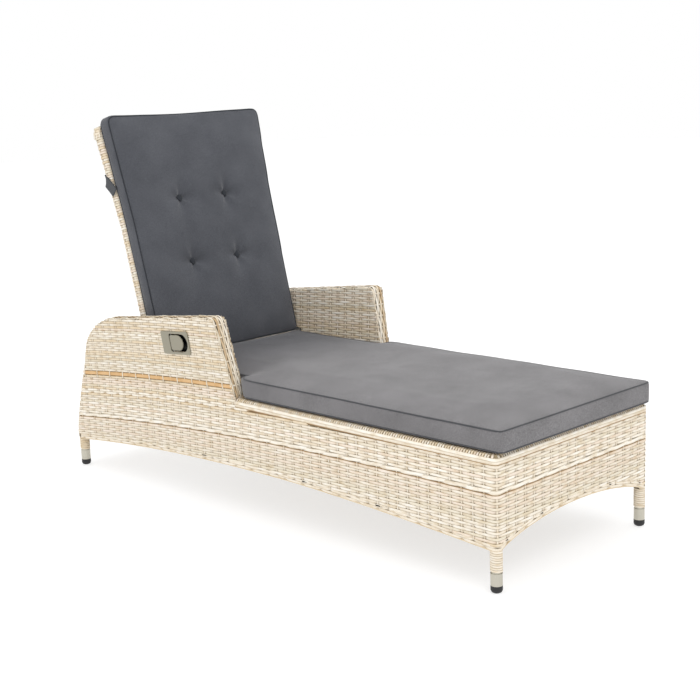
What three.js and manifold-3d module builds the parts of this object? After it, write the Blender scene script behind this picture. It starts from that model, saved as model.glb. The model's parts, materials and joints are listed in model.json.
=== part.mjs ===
// Reclining sun lounger: a wicker-clad aluminium base with two arms, a hinged back that a
// lockable gas spring holds, a release lever in one arm, and two loose cushions.
// Millimetres, +Z up. The foot end is at -Y, the head end at +Y, the lever side at -X.
import * as THREE from 'three';
import { mergeVertices } from 'three/addons/utils/BufferGeometryUtils.js';
import Module from 'manifold-3d';

const wasm = await Module();
wasm.setup();

// ---- Driving dimensions -------------------------------------------------------------------
const GAP = 0.3;                         // clearance between pieces that touch
const HALF_LENGTH = 950;                 // base, without the cushion's overhang
const HALF_WIDTH = 350.5;
const RIM_TOP = 373;                     // top of the woven rim round the seat
const RIM_RADIUS = 14;
const WEAVE = 6;                         // thickness of a woven wall

const LEG = { inset: 17, foot: 20, bareTop: 54, bareRadius: 16.2, coreRadius: 14, wrapRadius: 17 };
const POST_RADIUS = 10.5;                // corner tube above each leg
const RAIL = { inner: 324, outer: 344, bottom: 314, top: 344, wall: 2 };
const CROSS = { height: 29.7, depth: 20, top: 363.7, wall: 2 };
const DECK = { bottom: 364, top: 372, end: 440 };

const ARM = { front: 60, lean: 0.227, top: 626, fall: 0.0956, shoulder: 640, wall: 5 };
const ARM_FLARE = { outer: 0.10, inner: 0.068, innerAtRim: 307 };
const HOOP_RADIUS = 11;

const PIVOT = { y: 479, z: 434 };        // recline axis, along X
const RECLINE = THREE.MathUtils.degToRad(76.3);
const BACK = { length: 812, front: 9, rear: -46, tubeX: 278, tubeRadius: 12 };
const PANEL = { start: 60, end: 797, front: -50, rear: -90 };
// Half width of the back against the distance up it: it fits between the arms, then widens above them.
const BACK_WIDTHS = [[0, 300], [60, 300], [450, 306], [790, 326]];
const PANEL_WIDTHS = [[60, 298], [450, 303], [775, 330]];
const TUBE_DEPTH = -70;                  // back tubes, below the recline axis when lying flat
const BUTTONS = { x: 98, rows: [304, 522], pocket: 24, depth: 14 };
const RELIEF = { halfWidth: 15, along: 22, depth: 13 };  // room for the gas spring's eye as the back moves

const SEAT = { bottom: 376, top: 443, halfWidth: 347, overhang: 14, shoulder: 50, corner: 45,
  neck: 300, end: 467 };

const ANCHOR = { y: 312, z: 206 };       // lower pivot of the gas spring
const HORN = { along: 5, depth: -60, from: 40 };
const TRIGGER = { along: 20, up: 16.5, hub: 5 };     // pivot of the small lever on the release head
const BARREL = { radius: 11, length: 140, shank: 30, bore: 110 };

const PLATE = { y: 319, z: 518, length: 137, height: 74, thickness: 3,
  tilt: THREE.MathUtils.degToRad(4.5) };
const MOUTH = { back: -29, centre: 33, radius: 30 };  // D-shaped opening, round towards the foot
const FLAP = { back: -26, centre: 12, radius: 25, thickness: 3, axisX: -23, axisZ: -2.5 };
const CUP_DEPTH = 24;

// ---- Materials ------------------------------------------------------------------------------
const finish = (color, roughness, metalness) => new THREE.MeshStandardMaterial({ color, roughness, metalness });
const wicker = finish(0xe4d9c3, 0.6, 0);
const aluminium = finish(0xb9bab6, 0.4, 0.9);
const steel = finish(0x8d9094, 0.35, 0.9);
const rubber = finish(0x1b1b1c, 0.8, 0);
const plastic = finish(0x96917f, 0.45, 0.1);
const darkPlastic = finish(0x141414, 0.5, 0);
const backFabric = finish(0x54575c, 0.95, 0);
const seatFabric = finish(0x7b797b, 0.95, 0);
const webbing = finish(0x45474b, 0.9, 0);

// ---- Small geometry helpers -------------------------------------------------------------------
const lounger = new THREE.Group();
lounger.position.y = SEAT.overhang / 2;  // centres the whole footprint on the origin

// Keeps positions only, merges shared corners, drops empty triangles and faces the shell outwards.
function clean(geometry) {
  const bare = geometry.index ? geometry.toNonIndexed() : geometry.clone();
  bare.deleteAttribute('normal');
  bare.deleteAttribute('uv');
  const merged = mergeVertices(bare, 1e-4);
  const source = merged.index.array;
  const position = merged.attributes.position;
  const corner = [new THREE.Vector3(), new THREE.Vector3(), new THREE.Vector3()];
  const triangles = [];
  let volume = 0;
  for (let i = 0; i < source.length; i += 3) {
    const [a, b, c] = [source[i], source[i + 1], source[i + 2]];
    if (a === b || b === c || c === a) continue;
    corner[0].fromBufferAttribute(position, a);
    corner[1].fromBufferAttribute(position, b);
    corner[2].fromBufferAttribute(position, c);
    volume += corner[0].dot(corner[1].cross(corner[2]));
    triangles.push(a, b, c);
  }
  if (volume < 0) triangles.reverse();
  merged.setIndex(triangles);
  return merged;
}

function toSolid(geometry) {
  const shell = clean(geometry);
  const mesh = new wasm.Mesh({
    numProp: 3,
    vertProperties: new Float32Array(shell.attributes.position.array),
    triVerts: new Uint32Array(shell.index.array),
  });
  return new wasm.Manifold(mesh);
}

function toGeometry(solid) {
  const mesh = solid.getMesh();
  const geometry = new THREE.BufferGeometry();
  geometry.setAttribute('position', new THREE.BufferAttribute(new Float32Array(mesh.vertProperties), 3));
  geometry.setIndex(new THREE.BufferAttribute(new Uint32Array(mesh.triVerts), 1));
  return geometry;
}

const union = (first, ...rest) =>
  toGeometry(rest.reduce((body, piece) => body.add(toSolid(piece)), toSolid(first)));
const cut = (first, ...rest) =>
  toGeometry(rest.reduce((body, piece) => body.subtract(toSolid(piece)), toSolid(first)));

function addPart(group, name, geometry, material) {
  const mesh = new THREE.Mesh(clean(geometry), material);
  mesh.name = name;
  group.add(mesh);
}

function shapeOf(points, hole) {
  const shape = new THREE.Shape(points.map(([a, b]) => new THREE.Vector2(a, b)));
  if (hole) shape.holes.push(new THREE.Path(hole.map(([a, b]) => new THREE.Vector2(a, b))));
  return shape;
}

const axes = (x, y, z) => new THREE.Matrix4().makeBasis(x, y, z);
const X = new THREE.Vector3(1, 0, 0);
const Y = new THREE.Vector3(0, 1, 0);
const Z = new THREE.Vector3(0, 0, 1);

// Prisms of an outline, named after the axis they run along.
function prismX(points, from, to, hole) {
  return new THREE.ExtrudeGeometry(shapeOf(points, hole), { depth: to - from, bevelEnabled: false })
    .applyMatrix4(axes(Y, Z, X)).translate(from, 0, 0);
}
function prismY(points, from, to, hole) {
  return new THREE.ExtrudeGeometry(shapeOf(points, hole), { depth: to - from, bevelEnabled: false })
    .applyMatrix4(axes(X, Z, Y.clone().negate())).translate(0, to, 0);
}
function prismZ(points, from, to, hole) {
  return new THREE.ExtrudeGeometry(shapeOf(points, hole), { depth: to - from, bevelEnabled: false })
    .translate(0, 0, from);
}

const rectangle = (a0, b0, a1, b1) => [[a0, b0], [a1, b0], [a1, b1], [a0, b1]];
const box = (x0, y0, z0, x1, y1, z1) => prismZ(rectangle(x0, y0, x1, y1), z0, z1);

function circle(a, b, radius, segments = 16) {
  return Array.from({ length: segments }, (_, i) => {
    const angle = (i / segments) * 2 * Math.PI;
    return [a + radius * Math.cos(angle), b + radius * Math.sin(angle)];
  });
}

function arc(a, b, radius, startDeg, endDeg, steps) {
  return Array.from({ length: steps + 1 }, (_, i) => {
    const angle = THREE.MathUtils.degToRad(startDeg + ((endDeg - startDeg) * i) / steps);
    return [a + radius * Math.cos(angle), b + radius * Math.sin(angle)];
  });
}

// Solid of revolution about Z from [radius, z] pairs.
function turned(profile, segments = 16) {
  const points = profile.map(([radius, z]) => new THREE.Vector2(radius, z));
  return new THREE.LatheGeometry(points, segments).rotateX(Math.PI / 2);
}

// Moves every edge of a closed, anticlockwise outline inwards.
function inset(points, distance) {
  return points.map((point, i) => {
    const before = points[(i + points.length - 1) % points.length];
    const after = points[(i + 1) % points.length];
    const u = new THREE.Vector2(point[0] - before[0], point[1] - before[1]).normalize();
    const v = new THREE.Vector2(after[0] - point[0], after[1] - point[1]).normalize();
    const bisector = new THREE.Vector2(-u.y - v.y, u.x + v.x).normalize();
    const reach = distance / (bisector.x * -u.y + bisector.y * u.x);
    return [point[0] + bisector.x * reach, point[1] + bisector.y * reach];
  });
}

function sweep(route, radius, sides, steps) {
  const path = new THREE.CatmullRomCurve3(route.map((point) => new THREE.Vector3(...point)));
  return new THREE.ExtrudeGeometry(shapeOf(circle(0, 0, radius, sides)), { steps, extrudePath: path });
}

// ---- Outlines shared by several pieces -----------------------------------------------------------
// Lower edge of the side walls: a long low arch with its crown towards the head end.
const CROWN = { y: -120, z: 155, dropFoot: 39, dropHead: 57 };
function sideArch(y) {
  if (y < CROWN.y) return CROWN.z - CROWN.dropFoot * ((CROWN.y - y) / (CROWN.y + HALF_LENGTH)) ** 1.6;
  return CROWN.z - CROWN.dropHead * ((y - CROWN.y) / (HALF_LENGTH - CROWN.y)) ** 2.25;
}

// Lower edge of the end walls.
const endArch = (x) => 117 + 53 * Math.max(0, 1 - (x / 330) ** 2) ** 0.8;

// Sloping rear edge of the side walls, from the leg up to the arm's shoulder.
const LEG_TOP_REAR = 99;
const rearEdge = (z) => HALF_LENGTH - 0.02475 * Math.max(0, z - LEG_TOP_REAR) ** 1.427;

function range(from, to, steps) {
  return Array.from({ length: steps + 1 }, (_, i) => from + ((to - from) * i) / steps);
}
const ordered = (a, b) => (a < b ? [a, b] : [b, a]);

// Arm outline in (y, z), anticlockwise from the lower front corner when seen from +X.
function armOutline(bottom) {
  const shoulderZ = ARM.top - ARM.fall * (ARM.shoulder - ARM.front);
  const shoulder = new THREE.CubicBezierCurve(
    new THREE.Vector2(rearEdge(419), 419),
    new THREE.Vector2(832, 508),
    new THREE.Vector2(725, shoulderZ - 6),
    new THREE.Vector2(ARM.shoulder, shoulderZ),
  ).getPoints(8).map((point) => [point.x, point.y]);
  const frontTop = ARM.front + ARM.lean * (ARM.top - RIM_TOP);
  return [
    [ARM.front, bottom],
    [rearEdge(bottom), bottom],
    ...shoulder,
    [frontTop + 12, ARM.top - 2],
    [frontTop + 3, ARM.top - 5],
    [frontTop - 2, ARM.top - 14],
  ];
}

const armOuter = (z) => HALF_WIDTH + ARM_FLARE.outer * (z - RIM_TOP);
const armInner = (z) => ARM_FLARE.innerAtRim + ARM_FLARE.inner * (z - RIM_TOP);

// A prism of the arm outline whose two faces follow the arm's flare; skin moves both faces in.
function flaredPrism(side, outline, skin) {
  const geometry = prismX(outline, 0, 1);
  const position = geometry.attributes.position;
  for (let i = 0; i < position.count; i += 1) {
    const z = position.getZ(i);
    const face = position.getX(i) < 0.5 ? armInner(z) + skin : armOuter(z) - skin;
    position.setX(i, side * face);
  }
  return geometry;
}

// D-shaped outline of the lever opening, the flap and the cup behind them.
function dShape({ back, centre, radius }, grow = 0) {
  const corner = 8;
  const r = radius + grow;
  return [
    ...arc(back - grow + corner, r - corner, corner, 90, 180, 3),
    ...arc(back - grow + corner, -r + corner, corner, 180, 270, 3),
    ...arc(centre, 0, r, -90, 90, 12),
  ];
}

const sides = [['left', 1], ['right', -1]];       // as the person lying on it has them

// ---- Legs ---------------------------------------------------------------------------------------------
function addLegs() {
  const x = HALF_WIDTH - 17.5;
  const y = HALF_LENGTH - LEG.inset;
  for (const [end, direction] of [['foot', -1], ['head', 1]]) {
    const wallBottom = sideArch(direction * y) - 1.5;
    const rise = direction < 0 ? RAIL.bottom - GAP : wallBottom;
    for (const [side, sign] of sides) {
      const place = (geometry) => geometry.translate(sign * x, direction * y, 0);
      const legTube = turned([
        [0, LEG.foot + GAP], [LEG.bareRadius, LEG.foot + GAP], [LEG.bareRadius, LEG.bareTop],
        [LEG.coreRadius, LEG.bareTop], [LEG.coreRadius, wallBottom],
        [POST_RADIUS, wallBottom], [POST_RADIUS, rise + GAP], [0, rise + GAP],
      ].filter((point, i, all) => i === 0 || point.join() !== all[i - 1].join()));
      const post = direction < 0 ? place(legTube) : union(place(legTube), headPost(sign * x, wallBottom));
      addPart(lounger, `leg_post_${end}_${side}`, post, aluminium);
      addPart(lounger, `leg_wrap_${end}_${side}`, place(turned([
        [LEG.coreRadius + GAP, LEG.bareTop + GAP], [LEG.wrapRadius, LEG.bareTop + GAP],
        [LEG.wrapRadius, wallBottom - GAP], [LEG.coreRadius + GAP, wallBottom - GAP],
        [LEG.coreRadius + GAP, LEG.bareTop + GAP],
      ])), wicker);
      addPart(lounger, `leg_foot_${end}_${side}`, place(turned([
        [0, 0], [9, 0], [13.5, 2.5], [16.3, 8], [16.3, LEG.foot], [0, LEG.foot],
      ])), rubber);
    }
  }
}

// The head-end corner tubes lean forwards above the leg, behind the sloping edge of the side wall.
function headPost(x, bottom) {
  const setIn = 19;
  const heights = range(bottom - 12, RAIL.bottom - GAP, 6);
  const route = heights.map((z) => [x, Math.min(rearEdge(z) - setIn, HALF_LENGTH - LEG.inset), z]);
  return sweep(route, POST_RADIUS, 12, 12);
}

// ---- Seat frame ---------------------------------------------------------------------------------------
function addFrame() {
  const { inner, outer, bottom, top, wall } = RAIL;
  const hollow = (a0, b0, a1, b1, t) => [rectangle(a0, b0, a1, b1), rectangle(a0 + t, b0 + t, a1 - t, b1 - t)];
  const rearEnd = rearEdge(top) - WEAVE - 2;
  for (const [side, sign] of sides) {
    const [near, far] = ordered(sign * inner, sign * outer);
    const [section, hole] = hollow(near, bottom, far, top, wall);
    addPart(lounger, `side_rail_${side}`,
      prismY(section, -HALF_LENGTH + WEAVE + 0.5, rearEnd, hole), aluminium);
  }
  const halfSpan = inner - GAP;
  const tubes = [
    ['rail_foot', -930, RAIL.top, halfSpan], ['seat_tube_front', -600, CROSS.top, 321.5],
    ['seat_tube_middle', -150, CROSS.top, 321.5], ['spring_tube', 285, CROSS.top, 321.5],
    ['seat_tube_rear', 400, CROSS.top, 321.5], ['rail_head', 850, 335.7, halfSpan],
  ];
  for (const [name, y, crossTop, reach] of tubes) {
    const half = CROSS.depth / 2;
    const [section, hole] = hollow(y - half, crossTop - CROSS.height, y + half, crossTop, CROSS.wall);
    addPart(lounger, name, prismX(section, -reach, reach, hole), aluminium);
  }
}

// ---- Woven walls, rims and deck -------------------------------------------------------------------------
function addWickerBase() {
  const ys = range(-HALF_LENGTH, HALF_LENGTH, 24);
  const lower = ys.map((y) => [y, sideArch(y)]);
  const rear = range(LEG_TOP_REAR, RIM_TOP - GAP, 8).slice(1).map((z) => [rearEdge(z), z]);
  const rimUnderside = RIM_TOP - 2 * RIM_RADIUS - GAP;
  const outline = [...lower, ...rear, [ARM.front, RIM_TOP - GAP], [ARM.front, rimUnderside],
    [-HALF_LENGTH, rimUnderside]];
  const rimX = HALF_WIDTH - RIM_RADIUS;
  const rimZ = RIM_TOP - RIM_RADIUS;
  for (const [side, sign] of sides) {
    const faces = ordered(sign * (HALF_WIDTH - WEAVE), sign * HALF_WIDTH);
    addPart(lounger, `skirt_side_${side}`, prismX(outline, ...faces), wicker);
    addPart(lounger, `rim_side_${side}`,
      prismY(circle(sign * rimX, rimZ, RIM_RADIUS), -HALF_LENGTH, ARM.front - 2), wicker);
  }
  const reach = HALF_WIDTH - WEAVE - GAP;
  const arch = range(-reach, reach, 20).map((x) => [x, endArch(x)]);
  addPart(lounger, 'skirt_foot',
    prismY([...arch, [reach, rimUnderside], [-reach, rimUnderside]], -HALF_LENGTH, WEAVE - HALF_LENGTH), wicker);
  const rimReach = rimX - RIM_RADIUS - GAP;
  addPart(lounger, 'rim_foot',
    prismX(circle(-HALF_LENGTH + RIM_RADIUS, rimZ, RIM_RADIUS), -rimReach, rimReach), wicker);

  const rollZ = 324;
  const heights = range(LEG_TOP_REAR, rollZ, 8);
  const outerFace = heights.map((z) => [rearEdge(z), z]);
  const innerFace = heights.map((z) => [rearEdge(z) - WEAVE, z]);
  const slope = [...outerFace, ...innerFace.reverse()];
  const wall = prismX(slope, -reach, reach);
  const archDrop = 18;
  const headArch = range(reach + 1, -reach - 1, 20).map((x) => [x, endArch(x) - archDrop]);
  const under = [[-reach - 1, 0], [reach + 1, 0], ...headArch];
  const opened = cut(wall, prismY(under, HALF_LENGTH - 200, HALF_LENGTH + 50));
  const roll = prismX(circle(rearEdge(rollZ) - 9, rollZ, 12), -rimReach, rimReach);
  addPart(lounger, 'skirt_head', union(opened, roll), wicker);

  const deckFront = -HALF_LENGTH + 2 * RIM_RADIUS + 0.5;
  const wide = rimX - RIM_RADIUS - 1;
  const narrow = ARM_FLARE.innerAtRim - 1;
  addPart(lounger, 'seat_deck', prismZ([
    [-wide, deckFront], [wide, deckFront], [wide, ARM.front - 2], [narrow, ARM.front - 2], [narrow, DECK.end],
    [-narrow, DECK.end], [-narrow, ARM.front - 2], [-wide, ARM.front - 2],
  ], DECK.bottom, DECK.top), wicker);
}

// ---- Arms -------------------------------------------------------------------------------------------------
const PIN_RADIUS = 6;
const BUSH_RADIUS = 9;

function addArms() {
  const outline = armOutline(RIM_TOP + GAP);
  const opening = inset(armOutline(RIM_TOP - 30), ARM.wall);
  const hoopPath = inset(armOutline(RAIL.top - 13), 17.5);
  for (const [side, sign] of sides) {
    const bushHole = prismX(circle(PIVOT.y, PIVOT.z, BUSH_RADIUS + GAP), ...ordered(sign * 300, sign * 325));
    const cuts = [flaredPrism(sign, opening, ARM.wall), bushHole];
    if (sign < 0) cuts.push(onPlate(prismZ(dShape(MOUTH, 2.5 + GAP), -10, 1)));
    addPart(lounger, `arm_wicker_${side}`, cut(flaredPrism(sign, outline, 0), ...cuts), wicker);

    const middle = (z) => sign * (armOuter(z) + armInner(z)) / 2;
    const route = [...hoopPath.slice(1), hoopPath[0]].map(([y, z]) => [middle(z), y, z]);
    addPart(lounger, `arm_hoop_${side}`, sweep(route, HOOP_RADIUS, 10, 44), aluminium);

    const plateFaces = ordered(sign * (RAIL.inner - 3.7), sign * (RAIL.inner - GAP));
    const plateFoot = RAIL.bottom + 4;
    const plate = [...arc(PIVOT.y, PIVOT.z, 18, 0, 180, 8), [PIVOT.y - 40, plateFoot], [PIVOT.y + 40, plateFoot]];
    addPart(lounger, `pivot_bracket_${side}`,
      prismX(plate, ...plateFaces, circle(PIVOT.y, PIVOT.z, BUSH_RADIUS + GAP)), steel);
    addPart(lounger, `pivot_bush_${side}`, prismX(circle(PIVOT.y, PIVOT.z, BUSH_RADIUS),
      ...ordered(sign * 307.5, sign * 332), circle(PIVOT.y, PIVOT.z, PIN_RADIUS + 0.2)), darkPlastic);
  }
}

// ---- Release lever in the right arm ----------------------------------------------------------------------
// Local axes of the lever plate: x towards the foot end, y up the arm, z out of the arm's face.
const plateFrame = (() => {
  const out = new THREE.Vector3(-1, 0, -ARM_FLARE.outer).normalize();
  const foot = new THREE.Vector3(0, -1, 0);
  const up = out.clone().cross(foot);
  const x = foot.clone().multiplyScalar(Math.cos(PLATE.tilt)).addScaledVector(up, Math.sin(PLATE.tilt));
  return axes(x, out.clone().cross(x), out).setPosition(-armOuter(PLATE.z), PLATE.y, PLATE.z);
})();
function onPlate(geometry) {
  return geometry.applyMatrix4(plateFrame);
}

function addLever() {
  const lever = new THREE.Group();
  plateFrame.decompose(lever.position, lever.quaternion, lever.scale);
  lounger.add(lever);
  const face = [
    ...arc(PLATE.length / 2 - 5, PLATE.height / 2 - 5, 5, 0, 90, 3),
    ...arc(-PLATE.length / 2 + 5, PLATE.height / 2 - 5, 5, 90, 180, 3),
    ...arc(-PLATE.length / 2 + 5, -PLATE.height / 2 + 5, 5, 180, 270, 3),
    ...arc(PLATE.length / 2 - 5, -PLATE.height / 2 + 5, 5, 270, 360, 3),
  ];
  addPart(lever, 'lever_plate', prismZ(face, GAP, GAP + PLATE.thickness, dShape(MOUTH)), plastic);

  const wallThickness = 2.5;
  const cup = cut(prismZ(dShape(MOUTH, wallThickness), -CUP_DEPTH, 0),
    prismZ(dShape(MOUTH), -CUP_DEPTH + wallThickness, 1));
  addPart(lever, 'lever_cup', cup, darkPlastic);

  const alongUp = (geometry) => geometry.rotateX(-Math.PI / 2).translate(FLAP.axisX, 0, FLAP.axisZ);
  const knuckle = alongUp(prismZ(circle(0, 0, 3.2, 12), -16, 16));
  const bore = alongUp(prismZ(circle(0, 0, 1.8, 12), -17, 17));
  const blade = prismZ(dShape(FLAP), -1, -1 + FLAP.thickness);
  addPart(lever, 'lever_flap', cut(union(blade, knuckle), bore), plastic);
  const pinHalf = MOUTH.radius - 1.2;
  addPart(lever, 'lever_pin', alongUp(prismZ(circle(0, 0, 1.5, 10), -pinHalf, pinHalf)), steel);

  addPart(lounger, 'release_cable', sweep([
    [-352, 336, 481], [-348, 336, 450], [-335, 335, 415], [-320, 333, 385], [-317.5, 332, 350],
    [-316, 328, 318], [-296, 318, 288], [-240, 306, 264], [-160, 292, 246], [-80, 274, 234],
    [-30, 262, 233], [-6, 267, 229], [0, 284, 228],
  ], 2.5, 8, 56), darkPlastic);
}

// ---- Gas spring under the seat -----------------------------------------------------------------------------
// Where the horn's tip is, for a back raised by an angle.
function hornTip(angle) {
  return {
    y: PIVOT.y + HORN.along * Math.cos(angle) - HORN.depth * Math.sin(angle),
    z: PIVOT.z + HORN.along * Math.sin(angle) + HORN.depth * Math.cos(angle),
  };
}

function addSpring() {
  const tip = hornTip(RECLINE);
  const length = Math.hypot(tip.y - ANCHOR.y, tip.z - ANCHOR.z);
  const spring = new THREE.Group();
  spring.position.set(0, ANCHOR.y, ANCHOR.z);
  spring.rotation.x = Math.atan2(tip.z - ANCHOR.z, tip.y - ANCHOR.y);
  lounger.add(spring);

  const turnedAlong = (profile, segments) => turned(profile, segments).rotateX(-Math.PI / 2);
  const { along, up, hub } = TRIGGER;
  const ears = [-8, 5].map((x) => box(x, along - 7, 10, x + 3, along + 7, up + 6));
  addPart(spring, 'release_head', cut(union(box(-11, -11, -11, 11, 34, 11), ...ears),
    prismX(circle(0, 0, 4.3), -12, 12), prismX(circle(along, up, 2.3, 12), -9, 9)), steel);
  const rodEnd = length - BARREL.shank - BARREL.length + 22;
  addPart(spring, 'spring_rod', turnedAlong([[0, 34 + GAP], [5, 34 + GAP], [5, rodEnd], [0, rodEnd]], 14), steel);

  const mouth = length - BARREL.shank - BARREL.length;
  const shell = turnedAlong([
    [5.4, mouth], [9, mouth], [BARREL.radius, mouth + 3], [BARREL.radius, mouth + BARREL.length - 4],
    [7, mouth + BARREL.length], [4, mouth + BARREL.length], [4, length - 7], [0, length - 7],
    [0, mouth + BARREL.bore], [5.4, mouth + BARREL.bore], [5.4, mouth],
  ], 16);
  const eye = prismX(circle(length, 0, 10), -4, 4, circle(length, 0, 4.3));
  addPart(spring, 'spring_barrel', union(shell, eye), darkPlastic);

  const arm = prismX([...arc(along, up, hub, 180, 360, 8), [along + 1, up + 18], [along - 3, up + 18]], -4, 4);
  addPart(spring, 'release_lever', union(arm, prismX(circle(along, up, 2, 12), -10, 10)), steel);

  const cheek = (from, to) => prismX([
    [270, CROSS.top - CROSS.height - GAP], ...arc(ANCHOR.y, ANCHOR.z, 13, 200, 380, 8),
    [300, CROSS.top - CROSS.height - GAP],
  ], from, to);
  const bridgeTop = CROSS.top - CROSS.height - GAP;
  addPart(lounger, 'spring_bracket', union(cheek(-16, -13), cheek(13, 16),
    box(-15, 271, bridgeTop - 5, 15, 299, bridgeTop), prismX(circle(ANCHOR.y, ANCHOR.z, 4), -19, 19)), steel);
}

// ---- Back ---------------------------------------------------------------------------------------------------
// Local axes of the back: x across, y up the back, z out of its front. The origin is the recline axis.
function addBack() {
  const back = new THREE.Group();
  back.position.set(0, PIVOT.y, PIVOT.z);
  back.rotation.x = RECLINE;
  lounger.add(back);
  addBackFrame(back);
  addBackWicker(back);
  addBackCushion(back);
}

function addBackFrame(back) {
  const { tubeX, tubeRadius } = BACK;
  const bore = tubeRadius - 2;
  for (const [side, sign] of sides) {
    addPart(back, `back_tube_${side}`,
      prismY(circle(sign * tubeX, TUBE_DEPTH, tubeRadius), 6, 780, circle(sign * tubeX, TUBE_DEPTH, bore)), aluminium);

    const order = (a, b) => ordered(sign * a, sign * b);
    const link = prismX([
      ...arc(0, 0, 13, -10, 170, 8), ...arc(24, TUBE_DEPTH, 12, 170, 350, 8),
    ], ...order(302, 305));
    const boss = prismX(circle(24, TUBE_DEPTH, 9), ...order(tubeX + tubeRadius + GAP, 303));
    const pin = prismX(circle(0, 0, PIN_RADIUS), ...order(304, 336));
    addPart(back, `hinge_plate_${side}`, union(link, boss, pin), steel);
  }
  const span = tubeX - tubeRadius - GAP;
  const cross = (y) => prismX(circle(y, TUBE_DEPTH, tubeRadius), -span, span, circle(y, TUBE_DEPTH, bore));
  addPart(back, 'back_tube_top', cross(768), aluminium);
  const hornPlate = (from, to) => prismX([
    ...arc(HORN.along, HORN.depth, 11, 74, 254, 8), [HORN.from, TUBE_DEPTH - 11], [HORN.from, TUBE_DEPTH + 11],
  ], from, to, circle(HORN.along, HORN.depth, 4.3));
  const hub = prismX(circle(HORN.from, TUBE_DEPTH, tubeRadius + 1), -14, 14, circle(HORN.from, TUBE_DEPTH, bore));
  const trimBore = prismX(circle(HORN.from, TUBE_DEPTH, bore), -span - 1, span + 1);
  addPart(back, 'back_tube_bottom',
    cut(union(cross(HORN.from), hub, hornPlate(-9, -6), hornPlate(6, 9)), trimBore), aluminium);
}

// Outline of the back from its front: the widths up both edges, and round top corners, all inset.
function backOutline(widths, start, end, corner, inset) {
  const edge = widths.slice(0, -1).map(([along, half]) => [half - inset, Math.max(along, start)]);
  const topHalf = widths[widths.length - 1][1] - inset;
  return [
    ...edge,
    ...arc(topHalf - corner, end - corner, corner, 0, 90, 4),
    ...arc(-topHalf + corner, end - corner, corner, 90, 180, 4),
    ...edge.reverse().map(([half, along]) => [-half, along]),
  ];
}

function addBackWicker(back) {
  const { start, end, front, rear } = PANEL;
  const outline = backOutline(PANEL_WIDTHS, start, end, 22, 0);
  const inside = backOutline(PANEL_WIDTHS, start, end - WEAVE - 6, 16, WEAVE).map(([x, along]) =>
    [x, along === start ? start - 10 : along]);
  addPart(back, 'back_wicker', cut(prismZ(outline, rear, front), prismZ(inside, rear + WEAVE, front - WEAVE)), wicker);

  const strapInner = 317.8;
  const strapOuter = strapInner + 2;
  addPart(back, 'cushion_strap', prismY([
    [-strapOuter, rear - 2.5], [strapOuter, rear - 2.5], [strapOuter, BACK.rear - 1], [strapInner, BACK.rear - 1],
    [strapInner, rear - 0.5], [-strapInner, rear - 0.5], [-strapInner, BACK.rear - 1], [-strapOuter, BACK.rear - 1],
  ], 575, 620), webbing);
}

function addBackCushion(back) {
  const edge = 9;
  const outline = backOutline(BACK_WIDTHS, edge, BACK.length - edge, 26, edge);
  const padding = new THREE.ExtrudeGeometry(shapeOf(outline), {
    depth: BACK.front - BACK.rear - 2 * edge, bevelEnabled: true, bevelSize: edge, bevelThickness: edge, bevelSegments: 2,
  }).translate(0, 0, BACK.rear + edge);
  const relief = box(-RELIEF.halfWidth, -1, BACK.rear - 1, RELIEF.halfWidth, RELIEF.along, BACK.rear + RELIEF.depth);
  const pockets = [relief];
  BUTTONS.rows.forEach((y, row) => {
    for (const [side, sign] of sides) {
      const level = row === 0 ? 'lower' : 'upper';
      pockets.push(new THREE.SphereGeometry(BUTTONS.pocket, 20, 12).rotateX(Math.PI / 2)
        .translate(sign * BUTTONS.x, y, BACK.front + BUTTONS.pocket - BUTTONS.depth));
      addPart(back, `tuft_button_${level}_${side}`, turned([
        [0, -4.3], [6, -3.4], [11, -1.3], [12, 1.2], [8.5, 3.4], [0, 4.5],
      ]).translate(sign * BUTTONS.x, y, 0), backFabric);
    }
  });
  addPart(back, 'back_cushion', cut(padding, ...pockets), backFabric);
}

// ---- Seat cushion -------------------------------------------------------------------------------------------
function addSeatCushion() {
  const edge = 9;
  const w = SEAT.halfWidth - edge;
  const neck = SEAT.neck - edge;
  const toe = -HALF_LENGTH - SEAT.overhang + edge;
  const shoulder = SEAT.shoulder - edge;
  const r = SEAT.corner - edge;
  const outline = [
    ...arc(-w + 6, toe + 6, 6, 180, 270, 2), ...arc(w - 6, toe + 6, 6, 270, 360, 2),
    ...arc(w - r, shoulder - r, r, 0, 90, 6), [neck, shoulder], [neck, SEAT.end - edge],
    [-neck, SEAT.end - edge], [-neck, shoulder], ...arc(-w + r, shoulder - r, r, 90, 180, 6),
  ];
  addPart(lounger, 'seat_cushion', new THREE.ExtrudeGeometry(shapeOf(outline), {
    depth: SEAT.top - SEAT.bottom - 2 * edge, bevelEnabled: true, bevelSize: edge, bevelThickness: edge, bevelSegments: 2,
  }).translate(0, 0, SEAT.bottom + edge), seatFabric);
}

addLegs();
addFrame();
addWickerBase();
addArms();
addLever();
addSpring();
addBack();
addSeatCushion();

export default lounger;
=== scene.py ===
"""Looks for the reclining sun lounger: woven resin walls, cushions, release lever and studio.

Metres throughout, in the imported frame: foot end at -Y, head end at +Y, lever side at -X.
"""
import json
import math
from types import SimpleNamespace

import bmesh
import bpy
import numpy as np
from mathutils import Matrix, Vector
from mathutils.bvhtree import BVHTree


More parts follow.
